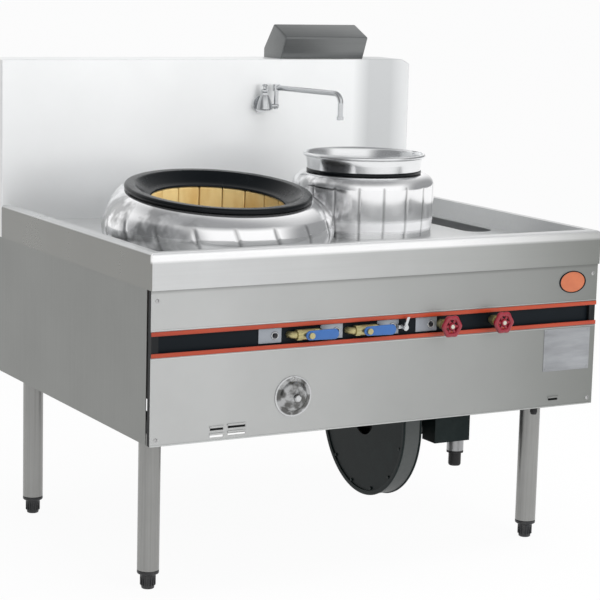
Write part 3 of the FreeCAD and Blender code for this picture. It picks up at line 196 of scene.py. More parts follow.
def free(piece):
    """Only this piece selected and active."""
    bpy.ops.object.select_all(action="DESELECT")
    piece.select_set(True)
    bpy.context.view_layer.objects.active = piece


def settle(piece, place=(0, 0, 0), turn=(0, 0, 0)):
    """Turn a piece about its own origin and put it in its place, then write that into its mesh."""
    free(piece)
    piece.location = [v * MM for v in place]
    piece.rotation_euler = [math.radians(v) for v in turn]
    bpy.ops.object.transform_apply(location=True, rotation=True, scale=True)
    return piece


def turned(outline, steps=96):
    """A closed outline of radius and height, spun about the upright line through the origin."""
    bpy.ops.mesh.primitive_circle_add(vertices=len(outline), radius=MM)
    piece = bpy.context.object
    for point, (radius, height) in zip(piece.data.vertices, outline):
        point.co = (radius * MM, 0, height * MM)
    bpy.ops.object.mode_set(mode="EDIT")
    bpy.ops.mesh.select_all(action="SELECT")
    bpy.ops.mesh.spin(steps=steps, angle=2 * math.pi, center=(0, 0, 0), axis=(0, 0, 1))
    bpy.ops.mesh.select_all(action="SELECT")
    bpy.ops.mesh.remove_doubles(threshold=0.01 * MM)
    bpy.ops.mesh.delete_loose(use_verts=True, use_edges=True, use_faces=False)
    bpy.ops.mesh.select_all(action="SELECT")
    bpy.ops.mesh.normals_make_consistent(inside=False)
    bpy.ops.object.mode_set(mode="OBJECT")
    return piece


def arc(centre, radius, start, end, count=6):
    """Corners of an outline on an arc, its angles counted from outwards up."""
    angles = [math.radians(start + (end - start) * step / count) for step in range(count + 1)]
    return [(centre[0] + radius * math.cos(a), centre[1] + radius * math.sin(a)) for a in angles]


def block(low, high):
    """A block between two corners."""
    bpy.ops.mesh.primitive_cube_add(size=MM, location=[(a + b) / 2 * MM for a, b in zip(low, high)])
    piece = bpy.context.object
    piece.scale = [b - a for a, b in zip(low, high)]
    bpy.ops.object.transform_apply(location=True, rotation=True, scale=True)
    return piece


def eased(piece, width, segments=3, angle=30):
    """Round every sharp edge with a bevel."""
    free(piece)
    bevel = piece.modifiers.new("edge", "BEVEL")
    bevel.width = width * MM
    bevel.segments = segments
    bevel.limit_method = "ANGLE"
    bevel.angle_limit = math.radians(angle)
    bpy.ops.object.modifier_apply(modifier="edge")
    return piece


def faces(piece, test):
    """Open a piece in edit mode with only the faces selected that pass a test of middle and normal."""
    free(piece)
    bpy.ops.object.mode_set(mode="EDIT")
    bpy.ops.mesh.select_mode(type="FACE")
    bpy.ops.mesh.select_all(action="DESELECT")
    bpy.ops.object.mode_set(mode="OBJECT")
    for face in piece.data.polygons:
        face.select = bool(test(face.center / MM, face.normal))
    bpy.ops.object.mode_set(mode="EDIT")


def copied(piece, place=(0, 0, 0), turn=(0, 0, 0)):
    """A copy with its own mesh, turned about the origin and then moved."""
    free(piece)
    bpy.ops.object.duplicate()
    return settle(bpy.context.object, place, turn)


def joined(pieces):
    """Several parts made one piece."""
    free(pieces[0])
    for piece in pieces:
        piece.select_set(True)
    bpy.ops.object.join()
    return bpy.context.object


def cut_by(piece, cutter):
    """Take one form away from another."""
    free(piece)
    knife = piece.modifiers.new("cut", "BOOLEAN")
    knife.operation = "DIFFERENCE"
    knife.object = cutter
    bpy.ops.object.modifier_apply(modifier="cut")
    bpy.data.objects.remove(cutter)
    return piece


def fit(piece, name, finish, body="range", stands_for=(), angle=35):
    """Name and coat a modelled piece, and tie it to its body and to the frame's pieces it stands for."""
    piece.name = name
    piece.data.name = name
    finish.coat_on(piece)
    smooth(piece, angle)
    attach(piece, body)
    if stands_for:
        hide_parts(*stands_for)
    return piece


tube_steel = steel("leg_tube_steel", (156, 156, 154), 0.34, (420, 420, 4), 0.85, 0.5, 0.25)
show("leg_tubes", tube_steel, 35)
beads = []
for x in (-LEG_X, LEG_X):
    for y in (LEG_FRONT_Y, LEG_REAR_Y):
        bead = turned([(LEG_RADIUS, LEG_TOP - 5)] + arc((LEG_RADIUS, LEG_TOP - 2), 2.6, -60, 60, 5)
                      + [(LEG_RADIUS, LEG_TOP + 0.5)], 72)
        for point in bead.data.vertices:
            point.co *= 1 + 0.012 * math.sin(26 * math.atan2(point.co.y, point.co.x))
            point.co.z = min(point.co.z, (LEG_TOP + 1) * MM)
        beads.append(settle(bead, (x, y, 0)))
fit(joined(beads), "leg_weld_beads", tube_steel)

foot_plastic = Finish("foot_plastic", paint(38, 39, 41), 0.45)
scuffs = foot_plastic.noise(60.0, (1, 1, 0.3), 4.0, 0.7)
foot_plastic.tint(foot_plastic.share(scuffs, 0.5, 0.75) * 0.4, paint(92, 90, 88))
foot_plastic.bump(scuffs, 0.25, 0.0006)
foot = turned([(0, 0)] + arc((12.5, 2.5), 2.5, -90, 0, 4) + [(16.5, 22), (18, 32.5)]
              + arc((22.5, 38.5), 3.0, -60, 0, 3) + arc((24, 43), 1.5, 0, 90, 3)
              + [(8, 44.5), (8, 80), (7, 82), (0, 82)], 64)
ribs = []
for step in range(16):
    rib = eased(block((15, -1.1, 8), (18.2, 1.1, 31)), 0.7, 2)
    ribs.append(settle(rib, (0, 0, 0), (0, 0, 22.5 * step)))
foot = joined([foot] + ribs)
for corner, x, y in (("front_left", -LEG_X, LEG_FRONT_Y), ("front_right", LEG_X, LEG_FRONT_Y),
                     ("rear_left", -LEG_X, LEG_REAR_Y), ("rear_right", LEG_X, LEG_REAR_Y)):
    fit(copied(foot, (x, y, 0)), "moulded_foot_" + corner, foot_plastic,
        "foot_" + corner, ["foot_" + corner])
bpy.data.objects.remove(foot)


# ---------------------------------------------------------------------------
# Furnace. A welded drum lined with pale fire bricks, with a cast burner on its
# floor, a sight tube to the front panel and an air duct to the blower.
# ---------------------------------------------------------------------------
WOK_X = -243
WOK_Y = -112
RING_HEIGHT = 887
RING_TILT = 6.4
BRICKS = 18
BRICK_SEED = 18
BRICK_TOP = RING_HEIGHT - 35
BRICK_FLOOR = 498
BRICK_OUTER = 209
BRICK_THROAT = 163
BRICK_FOOT = 112
CONE_TOP = 767


def lean(y):
    """How far the tilted ring stands over its middle height, so far behind the ring's centre."""
    return y * math.tan(math.radians(RING_TILT))


fire_brick = Finish("fire_brick", paint(228, 202, 142), 0.92)
grains = fire_brick.noise(160.0, (1, 1, 1), 6.0, 0.75)
patches = fire_brick.noise(13.0, (1, 1, 0.4), 3.0, 0.6)
soot = fire_brick.noise(6.0, (1, 1, 0.6), 4.0, 0.65)
fire_brick.tint(fire_brick.share(patches, 0.48, 0.66) * 0.6, paint(204, 162, 92))
fire_brick.tint(fire_brick.share(soot, 0.56, 0.74) * 0.35, paint(130, 108, 72))
fire_brick.bump(grains + patches * 0.8, 0.5, 0.003)
brick = turned([(BRICK_FOOT, BRICK_FLOOR), (BRICK_OUTER, BRICK_FLOOR), (BRICK_OUTER, BRICK_TOP),
                (BRICK_THROAT, BRICK_TOP), (BRICK_THROAT, CONE_TOP)], 72)
faces(brick, lambda middle, normal: abs(math.degrees(math.atan2(middle.y, middle.x)) - 10) > 10)
bpy.ops.mesh.delete(type="FACE")
bpy.ops.mesh.select_all(action="SELECT")
bpy.ops.mesh.select_mode(type="EDGE")
bpy.ops.mesh.region_to_loop()
bpy.ops.mesh.fill_holes(sides=0)
bpy.ops.object.mode_set(mode="OBJECT")
faces(brick, lambda middle, normal: True)
bpy.ops.mesh.fill_holes(sides=0)
bpy.ops.mesh.select_all(action="SELECT")
bpy.ops.mesh.normals_make_consistent(inside=False)
bpy.ops.object.mode_set(mode="OBJECT")
settle(brick, (0, 0, 0), (0, 0, -10))
for point in brick.data.vertices:
    point.co.y -= math.copysign(0.9 * MM, point.co.y) if abs(point.co.y) > 8 * MM else 0
eased(brick, 3.0, 3, 40)
# Every brick is laid a little unevenly. Without a seed this noise would follow the clock.
noise.seed_set(BRICK_SEED)
lining = []
for step in range(BRICKS):
    part = copied(brick, (0, 0, 0), (0, 0, 360 / BRICKS * step + 10))
    for point in part.data.vertices:
        spot = point.co / MM
        shake = noise.noise_vector(spot * 0.05 + Vector((step * 9, 0, 0))) * 1.2
        point.co += shake * MM
        if spot.z > 800:
            point.co.z += lean(spot.y) * MM
    lining.append(part)
bpy.data.objects.remove(brick)
lining = settle(joined(lining), (WOK_X, WOK_Y, 0))
flue_mouth = eased(block((100, -53, 657), (240, 53, 733)), 1)
cut_by(lining, settle(flue_mouth, (WOK_X, WOK_Y, 0), (0, 0, 10.3)))
fit(lining, "brick_lining", fire_brick, "range", ["refractory_lining"], 40)
# The bright bricks don't show in the polished steel that mirrors the furnace's mouth.
lining.visible_glossy = False

hot_steel = Finish("furnace_steel", paint(72, 70, 68), 0.55, 0.6)
scale = hot_steel.noise(9.0, (1, 1, 1), 6.0, 0.7)
hot_steel.tint(hot_steel.share(scale, 0.45, 0.7) * 0.7, paint(96, 74, 58))
hot_steel.bump(hot_steel.noise(70.0, (1, 1, 1), 5.0, 0.7), 0.25, 0.0012)
for name in ("furnace_shell", "sight_tube", "air_duct", "flue_duct", "pot_well"):
    show(name, hot_steel, 35)

burner_iron = Finish("burner_iron", paint(58, 54, 50), 0.75, 0.4)
rust = burner_iron.noise(22.0, (1, 1, 1), 5.0, 0.7)
burner_iron.tint(burner_iron.share(rust, 0.5, 0.75) * 0.6, paint(110, 72, 46))
burner_iron.bump(burner_iron.noise(150.0, (1, 1, 1), 4.0, 0.7), 0.4, 0.001)
show("burner_head", burner_iron, 35)


# ---------------------------------------------------------------------------
# Blower. A dark enamelled scroll with rolled rims and a ring of bolts, its
# finned motor and its junction box, which hang from the cross rails.
# ---------------------------------------------------------------------------
SCROLL_LEFT = 212
SCROLL_WIDTH = 45
SCROLL_Y = -60
SCROLL_HEIGHT = 279
SCROLL_RADIUS = 201

blower_paint = Finish("blower_enamel", paint(24, 35, 35), 0.5, 0.0, Specular_IOR_Level=0.2)
cast = blower_paint.noise(90.0, (1, 1, 1), 4.0, 0.65)
grime = blower_paint.noise(9.0, (1, 1, 1), 4.0, 0.7)
blower_paint.tint(blower_paint.share(grime, 0.5, 0.78) * 0.5, paint(48, 56, 55))
blower_paint.bump(cast, 0.2, 0.0008)
for name in ("blower_motor", "blower_bracket", "junction_box"):
    show(name, blower_paint, 35)
scroll_paint = Finish("scroll_enamel", paint(18, 29, 29), 0.45, 0.0, Specular_IOR_Level=0.15)
smudges = scroll_paint.noise(9.0, (1, 1, 1), 4.0, 0.7)
scroll_paint.tint(scroll_paint.share(smudges, 0.5, 0.78) * 0.4, paint(38, 52, 51))
# Painted highlight: the curved wall between the two flat faces is painted lighter where it faces the front
# lamp.
lit_wrapper = scroll_paint.along("X", SCROLL_LEFT + 1, SCROLL_LEFT + 3)
lit_wrapper *= scroll_paint.along("X", SCROLL_LEFT + SCROLL_WIDTH - 1, SCROLL_LEFT + SCROLL_WIDTH - 3)
scroll_paint.tint(lit_wrapper * 0.9, paint(96, 99, 98))
scroll_paint.bump(scroll_paint.noise(90.0, (1, 1, 1), 4.0, 0.65), 0.2, 0.0008)
show("blower_scroll", scroll_paint, 35)

rim_outline = ([(SCROLL_RADIUS - 9, 0)] + arc((SCROLL_RADIUS + 0.5, 1.5), 2.2, -90, 90, 8)
               + [(SCROLL_RADIUS - 9, 3)])
rims = [settle(turned(rim_outline, 144), (SCROLL_LEFT - 3, SCROLL_Y, SCROLL_HEIGHT), (0, 90, 0)),
        settle(turned(rim_outline, 144), (SCROLL_LEFT + SCROLL_WIDTH, SCROLL_Y, SCROLL_HEIGHT), (0, 90, 0))]
for step in range(12):
    angle = math.radians(30 * step + 15)
    bolt = eased(turned([(0, 0), (4.6, 0), (4.6, 3.2), (0, 3.2)], 6), 0.6, 2)
    spot = (SCROLL_Y + (SCROLL_RADIUS - 15) * math.cos(angle),
            SCROLL_HEIGHT + (SCROLL_RADIUS - 15) * math.sin(angle))
    rims.append(settle(bolt, (SCROLL_LEFT - 3.2, *spot), (0, 90, 0)))
fit(joined(rims), "scroll_rims", blower_paint)

impeller_metal = steel("impeller_metal", (150, 150, 150), 0.45, (60, 60, 60), 0.8)
show("blower_impeller", impeller_metal)


# ---------------------------------------------------------------------------
# Pipes behind the panels. The gas header is painted steel, the water pipe is
# galvanised, and copper feeds run from the valves to the burner.
# ---------------------------------------------------------------------------
gas_paint = Finish("gas_pipe_paint", paint(196, 160, 52), 0.4)
gas_paint.tint(gas_paint.share(gas_paint.noise(18.0, (1, 1, 1), 4.0, 0.7), 0.5, 0.75) * 0.4,
               paint(128, 104, 48))
show("gas_manifold", gas_paint, 35)

galvanised = Finish("galvanised_pipe", paint(150, 153, 156), 0.5, 0.7)
spangle = galvanised.add("TexVoronoi", {}, {"Vector": galvanised.place, "Scale": 220.0})
galvanised.tint(galvanised.share(spangle, 0.2, 0.7) * 0.4, paint(120, 122, 126))
show("water_pipe", galvanised, 35)

copper = Finish("feed_copper", paint(176, 112, 78), 0.35, 0.9)
copper.tint(copper.share(copper.noise(25.0, (1, 1, 1), 4.0, 0.7), 0.45, 0.7) * 0.6, paint(110, 72, 52))
show("burner_feed_pipes", copper, 35)

black_rubber = Finish("black_rubber", paint(26, 26, 27), 0.6)
black_rubber.bump(black_rubber.noise(90.0, (1, 1, 0.4), 4.0, 0.7), 0.25, 0.0006)
show("drain_sleeve", black_rubber, 35)
show("cable_gland", black_rubber, 35)


# ---------------------------------------------------------------------------
# Worktop. One folded stainless pan with a raised rim on three sides, a sunken
# floor and a drain trough pressed along its right side.
# ---------------------------------------------------------------------------
PAN_FLOOR = 757
RIM_TOP = 800

worktop_steel = steel("worktop_steel", (206, 207, 207), 0.3, (3, 190, 190), 0.75, 0.12, 0.25, 1.2)
# Painted shade: the worktop's two side faces are painted darker because they face away from the light.
shaded_flanks = worktop_steel.along("X", -598.2, -599.4) + worktop_steel.along("X", 598.2, 599.4)
worktop_steel.tint(shaded_flanks, paint(134, 134, 130))
# Painted shade: the apron's front face darkens towards the right end.
apron = worktop_steel.along("Y", -503, -506)
worktop_steel.tint(worktop_steel.along("X", -420, 640) * apron * 0.9, paint(134, 136, 132))
worktop_steel.tint(worktop_steel.along("X", 300, 600) * apron * 0.45, paint(104, 106, 102))
# Painted highlight: a bright line along the top of the rolled front edge, fading towards the right.
rolled_edge_highlight = worktop_steel.along("Z", RIM_TOP - 24, RIM_TOP - 17) * worktop_steel.along("Y", -497, -501)
worktop_steel.tint(rolled_edge_highlight * (0.88 - worktop_steel.along("X", 150, 620) * 0.6), paint(254, 254, 254))
show("worktop", worktop_steel, 35)
trough_steel = steel("trough_steel", (168, 169, 170), 0.34, (200, 4, 200), 0.85)
for name in ("drain_trough", "drain_strainer", "drain_pipe"):
    show(name, trough_steel, 35)


# ---------------------------------------------------------------------------
# Splashback and flue. A boxed stainless panel with one clipped corner closes
# the back of the worktop. The flue comes up through it under a folded cap.
# ---------------------------------------------------------------------------
SPLASH_FRONT = 393.5
SPLASH_TOP = 1165
SPLASH_HALF = 600
REAR = 518.5
SHEET = 1.5
APRON_BOTTOM = 718


def folded(corners, length, thickness, bend, drop):
    """Sheet folded round a flat outline: pushed out along its own normal, opened where a test says,
    its edges bent round and its wall given its thickness."""
    bpy.ops.mesh.primitive_circle_add(vertices=len(corners), radius=MM)
    piece = bpy.context.object
    for point, corner in zip(piece.data.vertices, corners):
        point.co = [v * MM for v in corner]
    bpy.ops.object.mode_set(mode="EDIT")
    bpy.ops.mesh.select_all(action="SELECT")
    bpy.ops.mesh.edge_face_add()
    bpy.ops.mesh.extrude_region_move(TRANSFORM_OT_translate={"value": [v * MM for v in length]})
    bpy.ops.mesh.select_all(action="SELECT")
    bpy.ops.mesh.normals_make_consistent(inside=False)
    bpy.ops.object.mode_set(mode="OBJECT")
    faces(piece, drop)
    bpy.ops.mesh.delete(type="FACE")
    bpy.ops.object.mode_set(mode="OBJECT")
    eased(piece, bend, 5, 12)
    wall = piece.modifiers.new("wall", "SOLIDIFY")
    wall.thickness = thickness * MM
    wall.offset = -1
    bpy.ops.object.modifier_apply(modifier="wall")
    return piece


splash_steel = steel("splash_steel", (240, 241, 241), 0.36, (2.2, 2.2, 0.6), 0.55, 0.3, 0.2, 2.2, 0.93)
# A broad upright band towards the right end of the sheet is darker.
darker_band = splash_steel.along("X", 420, 470) * splash_steel.along("X", 610, 540)
splash_steel.tint(darker_band * 0.7, paint(180, 182, 183))
splash = folded([(-SPLASH_HALF, SPLASH_FRONT, APRON_BOTTOM), (SPLASH_HALF, SPLASH_FRONT, APRON_BOTTOM),
                 (SPLASH_HALF, SPLASH_FRONT, SPLASH_TOP - 13), (SPLASH_HALF - 25, SPLASH_FRONT, SPLASH_TOP),
                 (-SPLASH_HALF, SPLASH_FRONT, SPLASH_TOP)], (0, REAR - SHEET - SPLASH_FRONT, 0), SHEET, 3.0,
                lambda middle, normal: normal.z < -0.9 or normal.y > 0.9)
cut_by(splash, block((210, SPLASH_FRONT + 23, SPLASH_TOP - 8), (456, REAR - 4, SPLASH_TOP + 8)))
lip = block((-SPLASH_HALF, REAR - SHEET, SPLASH_TOP - 14.5), (SPLASH_HALF - 27, REAR, SPLASH_TOP - 0.2))
fit(joined([splash, eased(lip, 0.4, 2)]), "splash_box", splash_steel, "range",
    ["splash_panel"])
show("rear_panel", splash_steel)

cap_steel = steel("cap_steel", (128, 130, 130), 0.32, (3, 220, 220), 0.9, 0.3, 0.3, 0.6)
CAP_LEFT = 205
CAP_RIGHT = 461
CAP_FRONT = 388.5
cap = folded([(CAP_LEFT, CAP_FRONT + 26, SPLASH_TOP), (CAP_LEFT, CAP_FRONT, SPLASH_TOP + 59),
              (CAP_LEFT, CAP_FRONT + 74, SPLASH_TOP + 92), (CAP_LEFT, REAR - 1, SPLASH_TOP + 25),
              (CAP_LEFT, REAR - 1, SPLASH_TOP)], (CAP_RIGHT - CAP_LEFT, 0, 0), SHEET, 5.0,
             lambda middle, normal: normal.z < -0.95 and middle.z < SPLASH_TOP + 5)
cut_by(cap, block((CAP_LEFT + 20, 474, SPLASH_TOP + 33), (CAP_RIGHT - 20, REAR + 5, SPLASH_TOP + 78)))
fit(cap, "folded_cap", cap_steel, "range", ["flue_cap"])
slats = []
for step in range(3):
    slat = eased(block((CAP_LEFT + 4, -9, -0.8), (CAP_RIGHT - 4, 9, 0.8)), 0.6, 2)
    slats.append(settle(slat, (0, 479 + 9 * step, SPLASH_TOP + 70 - 14 * step), (-30, 0, 0)))
fit(joined(slats), "cap_slats", cap_steel)


# ---------------------------------------------------------------------------
# Side and front panels. Flat sheets with folded edges, screwed to the frame:
# one on each side, one over and one under the control channel.
# ---------------------------------------------------------------------------
PANEL_FRONT = -502.5
PANEL_BOTTOM = 371
SIDE = 598.3
CHANNEL_EDGES = (566.5, 629.5)

# Painted shade: the side sheets are a darker copy of the front's steel because they face away from the
# light.
shaded_side_steel = steel("shaded_side_steel", (140, 141, 138), 0.42, (3, 160, 3), 0.7, 0.12, 0.2, 0.8, 0.93)
show("side_panels", shaded_side_steel)
front_steel = steel("front_steel", (190, 191, 190), 0.4, (1.2, 1.2, 0.3), 0.7, 0.35, 0.3, 1.0, 0.9)
# Painted shade: the front sheets darken towards the right, and a painted shadow lies along their top under
# the apron.
front_steel.tint(front_steel.along("X", -420, 640) * 0.9, paint(130, 132, 129))
front_steel.tint(front_steel.along("X", 300, 600) * 0.3, paint(104, 106, 102))
front_steel.tint(front_steel.along("Z", APRON_BOTTOM - 9, APRON_BOTTOM - 3) * 0.4, paint(96, 98, 95))
show("upper_front_panel", front_steel)
show("lower_front_panel", front_steel)

# Painted highlight: the folds are a lighter copy of the front's steel, with the same painted shade towards
# the right.
fold_highlight_steel = steel("fold_highlight_steel", (206, 208, 207), 0.36, (3, 160, 160), 0.8, 0.2, 0.2)
fold_highlight_steel.tint(fold_highlight_steel.along("X", -420, 640) * 0.7, paint(150, 152, 149))
folds = []
for height in (PANEL_BOTTOM + 2, *CHANNEL_EDGES):
    fold = block((-SIDE + 1, PANEL_FRONT - 1.2, height - 1.5), (SIDE - 1, PANEL_FRONT + 0.6, height + 1.5))
    folds.append(eased(fold, 0.8, 3))
fit(joined(folds), "panel_folds", fold_highlight_steel)

# Middle, height and width of each louvre.
LOUVRES = ((-435, 384, 33), (-435, 400, 33), (-385, 386, 44), (-385, 402, 44), (481, 392, 28))
hoods = []
for x, height, width in LOUVRES:
    hood = block((x - width / 2 - 1, PANEL_FRONT - 2.4, height + 1),
                 (x + width / 2 + 1, PANEL_FRONT + 0.4, height + 6))
    hoods.append(eased(hood, 1.2, 4))
fit(joined(hoods), "louvre_hoods", front_steel)

SCREW_X = 584
SCREW_HEIGHTS = (APRON_BOTTOM - 23, 386)
COVER_PIVOT = 498

screw_steel = steel("screw_steel", (190, 190, 190), 0.25, (400, 400, 400), 0.95)
screw = turned([(0, 0)] + arc((4.4, 0.6), 0.6, -60, 0, 2) + arc((0, -4.6), 6.75, 50, 68, 5)
               + [(2.2, 1.9), (2.0, 0.7), (0, 0.7)], 36)
heads = [copied(screw, (x, PANEL_FRONT, z), (90, 0, 0)) for x in (-SCREW_X, SCREW_X)
         for z in SCREW_HEIGHTS]
heads.append(copied(screw, (WOK_X, PANEL_FRONT - 2.1, COVER_PIVOT), (90, 0, 0)))
pivot_pin = turned([(0, 0), (2.5, 0), (2.5, 6.6), (0, 6.6)], 24)
heads.append(settle(pivot_pin, (WOK_X, PANEL_FRONT + 4.5, COVER_PIVOT), (90, 0, 0)))
fit(joined(heads), "panel_screw_heads", screw_steel, "range", ["panel_screws"])
rear_heads = [copied(screw, (x, REAR, z), (-90, 0, 0)) for x in (-580, -290, 0, 290, 580)
              for z in (390, 700, 1080)]
fit(joined(rear_heads), "rear_screw_heads", screw_steel)

BADGE = (524, PANEL_FRONT, 677)
OVAL = (36.2, 25)
HOOP = (39, 27)
badge_enamel = Finish("badge_enamel", paint(188, 104, 66), 0.3, 0.0, Coat_Weight=0.3)
fired = badge_enamel.noise(30.0, (1, 1, 1), 3.0, 0.6)
badge_enamel.tint(badge_enamel.share(fired, 0.4, 0.7) * 0.4, paint(160, 78, 46))
badge_enamel.bump(badge_enamel.noise(120.0), 0.05, 0.0004)
oval = turned([(0, 0), (OVAL[0], 0), (OVAL[0], 1.0), (30, 1.5), (15, 1.8), (0, 1.9)], 72)
oval.scale = (1, OVAL[1] / OVAL[0], 1)
fit(settle(oval, BADGE, (90, 0, 0)), "badge_oval", badge_enamel, "range", ["badge_plate"])
black_enamel = Finish("channel_enamel", paint(17, 23, 28), 0.4, 0.0, Specular_IOR_Level=0.12)
black_enamel.tint(black_enamel.share(black_enamel.noise(8.0, (1, 1, 1), 3.0), 0.5, 0.8) * 0.35,
                  paint(30, 36, 42))
black_enamel.bump(black_enamel.noise(110.0, (1, 1, 1), 3.0), 0.06, 0.0006)
hoop = turned([(35.6, 0), (HOOP[0], 0)] + arc((37.3, 1.2), 1.6, 0, 180, 6) + [(35.6, 0.6)], 72)
hoop.scale = (1, HOOP[1] / HOOP[0], 1)
fit(settle(hoop, BADGE, (90, 0, 0)), "badge_hoop", black_enamel)

plate_metal = steel("data_plate_metal", (158, 160, 163), 0.4, (8, 8, 44), 0.5, 0.6, 0.3, 1.0, 0.78)
PLATE = (515, 512)
PLATE_HALF = (68, 52)
label = block((PLATE[0] - PLATE_HALF[0], PANEL_FRONT - 1, PLATE[1] - PLATE_HALF[1]),
              (PLATE[0] + PLATE_HALF[0], PANEL_FRONT, PLATE[1] + PLATE_HALF[1]))
faces(label, lambda middle, normal: normal.y < -0.9)
bpy.ops.mesh.inset(thickness=5 * MM, depth=0)
bpy.ops.mesh.inset(thickness=0.8 * MM, depth=-0.4 * MM)
bpy.ops.object.mode_set(mode="OBJECT")
eased(label, 0.3, 2, 60)
rivet = turned([(0, 0), (2.6, 0)] + arc((0, -1.6), 3.05, 32, 80, 5) + [(0, 1.45)], 24)
rivets = [copied(rivet, (PLATE[0] + dx, PANEL_FRONT - 1, PLATE[1] + dz), (90, 0, 0))
          for dx in (-62, 62) for dz in (-46, 46)]
bpy.data.objects.remove(rivet)
bpy.data.objects.remove(screw)
fit(joined([label] + rivets), "rating_plate_bare", plate_metal, "range", ["data_plate"])


# ---------------------------------------------------------------------------
# Control channel. A black trough with a red strip along each edge. The gas
# valves, the pilot valve, the switches and the water valves stand in it.
# ---------------------------------------------------------------------------
CONTROL_HEIGHT = 598
TRIMS = (569, 617)
TRIM_WIDTH = 10

show("control_channel", black_enamel)
trim_red = Finish("trim_red", paint(206, 78, 30), 0.4, 0.0, Coat_Weight=0.15)
trim_red.tint(trim_red.share(trim_red.noise(30.0, (0.3, 1, 1), 4.0, 0.7), 0.45, 0.7) * 0.5,
              paint(176, 46, 30))
# Painted shade along both long edges of each red strip.
for low in TRIMS:
    for height, way in ((low, 1), (low + TRIM_WIDTH, -1)):
        edge = trim_red.along("Z", height + way * 2.2, height - way * 0.2)
        trim_red.tint(edge * 0.55, paint(122, 36, 20))
trims = [eased(block((-SIDE, PANEL_FRONT - 1.9, low), (SIDE, PANEL_FRONT, low + TRIM_WIDTH)), 1.2, 3)
         for low in TRIMS]
fit(joined(trims), "red_trim_strips", trim_red, "range", ["control_trims"])

valve_brass = Finish("valve_brass", paint(186, 176, 128), 0.34, 0.75)
valve_brass.tint(valve_brass.share(valve_brass.noise(60.0, (1, 1, 1), 4.0, 0.7), 0.45, 0.75) * 0.5,
                 paint(126, 112, 72))
valve_brass.bump(valve_brass.noise(300.0, (1, 1, 1), 3.0), 0.15, 0.0004)
show("gas_valve_bodies", valve_brass, 35)
show("water_valve_bodies", valve_brass, 35)

lever_blue = Finish("lever_blue", paint(36, 92, 158), 0.3, 0.0, Coat_Weight=0.4)
lever_blue.tint(lever_blue.share(lever_blue.noise(50.0, (1, 1, 1), 4.0, 0.7), 0.5, 0.8) * 0.4,
                paint(30, 66, 128))
lever_blue.bump(lever_blue.noise(240.0), 0.1, 0.0004)
VALVES = {"left": -212, "right": -60}
LEVER_REACH = 72
LEVER_HALF = 12.5
LEVER_FRONT = -526.5
for side, x in VALVES.items():
    lever = block((x - 13, LEVER_FRONT, CONTROL_HEIGHT - LEVER_HALF),
                  (x + LEVER_REACH, LEVER_FRONT + 6, CONTROL_HEIGHT + LEVER_HALF))
    free(lever)
    bpy.ops.object.mode_set(mode="EDIT")
    bpy.ops.mesh.select_mode(type="EDGE")
    bpy.ops.mesh.select_all(action="DESELECT")
    bpy.ops.object.mode_set(mode="OBJECT")
    for edge in lever.data.edges:
        ends = [lever.data.vertices[i].co for i in edge.vertices]
        edge.select = abs(ends[0].y - ends[1].y) > 5 * MM
    bpy.ops.object.mode_set(mode="EDIT")
    bpy.ops.mesh.bevel(offset=12 * MM, segments=8)
    bpy.ops.object.mode_set(mode="OBJECT")
    for point in lever.data.vertices:
        along = max(0, (point.co.x / MM - x) / LEVER_REACH)
        middle = CONTROL_HEIGHT * MM
        point.co.z = middle + (point.co.z - middle) * (0.86 + 0.14 * along)
    eased(lever, 2.4, 4, 40)
    fit(lever, "sleeved_lever_" + side, lever_blue, "gas_lever_" + side,
        ["gas_lever_" + side])

bright_chrome = Finish("bright_chrome", paint(206, 208, 210), 0.14, 0.95)
film = bright_chrome.noise(26.0, (1, 1, 1), 3.0, 0.6)
bright_chrome.set("Roughness", film * 0.16 + 0.06)
show("pilot_valve_body", bright_chrome, 35)
show("pilot_lever", bright_chrome, 35)

switch_metal = steel("switch_metal", (158, 163, 170), 0.4, (300, 4, 300), 0.5)
button_black = Finish("button_black", paint(24, 25, 28), 0.4)
button_black.bump(button_black.noise(400.0), 0.1, 0.0003)
for number in (1, 2, 3, 4):
    show("push_button_%d" % number, button_black, 35)
show("switch_plates", switch_metal)
BUTTONS = (-289, -130, 20, 125)
SWITCH_FRONT = -494
bezels = []
for x in BUTTONS:
    bezel = turned([(6.4, 0), (9.6, 0)] + arc((8.0, 1.0), 1.6, 0, 180, 6) + [(6.4, 0.4)], 36)
    bezels.append(settle(bezel, (x, SWITCH_FRONT, CONTROL_HEIGHT), (90, 0, 0)))
fit(joined(bezels), "button_bezels", bright_chrome)

wheel_red = Finish("wheel_red", paint(136, 16, 38), 0.3, 0.0, Coat_Weight=0.4)
chips = wheel_red.noise(70.0, (1, 1, 1), 5.0, 0.75)
wheel_red.tint(wheel_red.share(chips, 0.5, 0.7) * 0.5, paint(92, 12, 26))
wheel_red.bump(wheel_red.noise(120.0, (1, 1, 1), 3.0), 0.15, 0.0006)
nut_metal = steel("wheel_nut_metal", (206, 204, 190), 0.3, (200, 200, 200), 0.6)
wheel = turned([(19.5 + 5.4 * math.cos(math.radians(a)), -6.5 + 5.6 * math.sin(math.radians(a)))
                for a in range(0, 360, 24)], 96)
for point in wheel.data.vertices:
    turn_at = math.atan2(point.co.y, point.co.x)
    lobe = 1.06 + 0.06 * math.cos(6 * turn_at)
    point.co.x *= lobe
    point.co.y *= lobe
hub = turned([(0, -13), (9.5, -13), (10, -11), (9, -3), (7.5, -1), (0, -1)], 48)
spokes = [settle(eased(block((7, -3.2, -9), (18, 3.2, -4.5)), 1.4, 3), (0, 0, 0), (0, 0, 60 * step))
          for step in range(6)]
wheel = joined([wheel, hub] + spokes)
lock_nut = eased(turned([(0, -1.5), (5.6, -1.5), (5.6, 0), (4.2, 0.6), (0, 0.6)], 6), 0.5, 2)
spindle = turned([(0, -35), (4.9, -35), (4.9, 0), (0, 0)], 32)
WHEELS = {"left": 153, "right": 299}
WHEEL_FRONT = -548.5
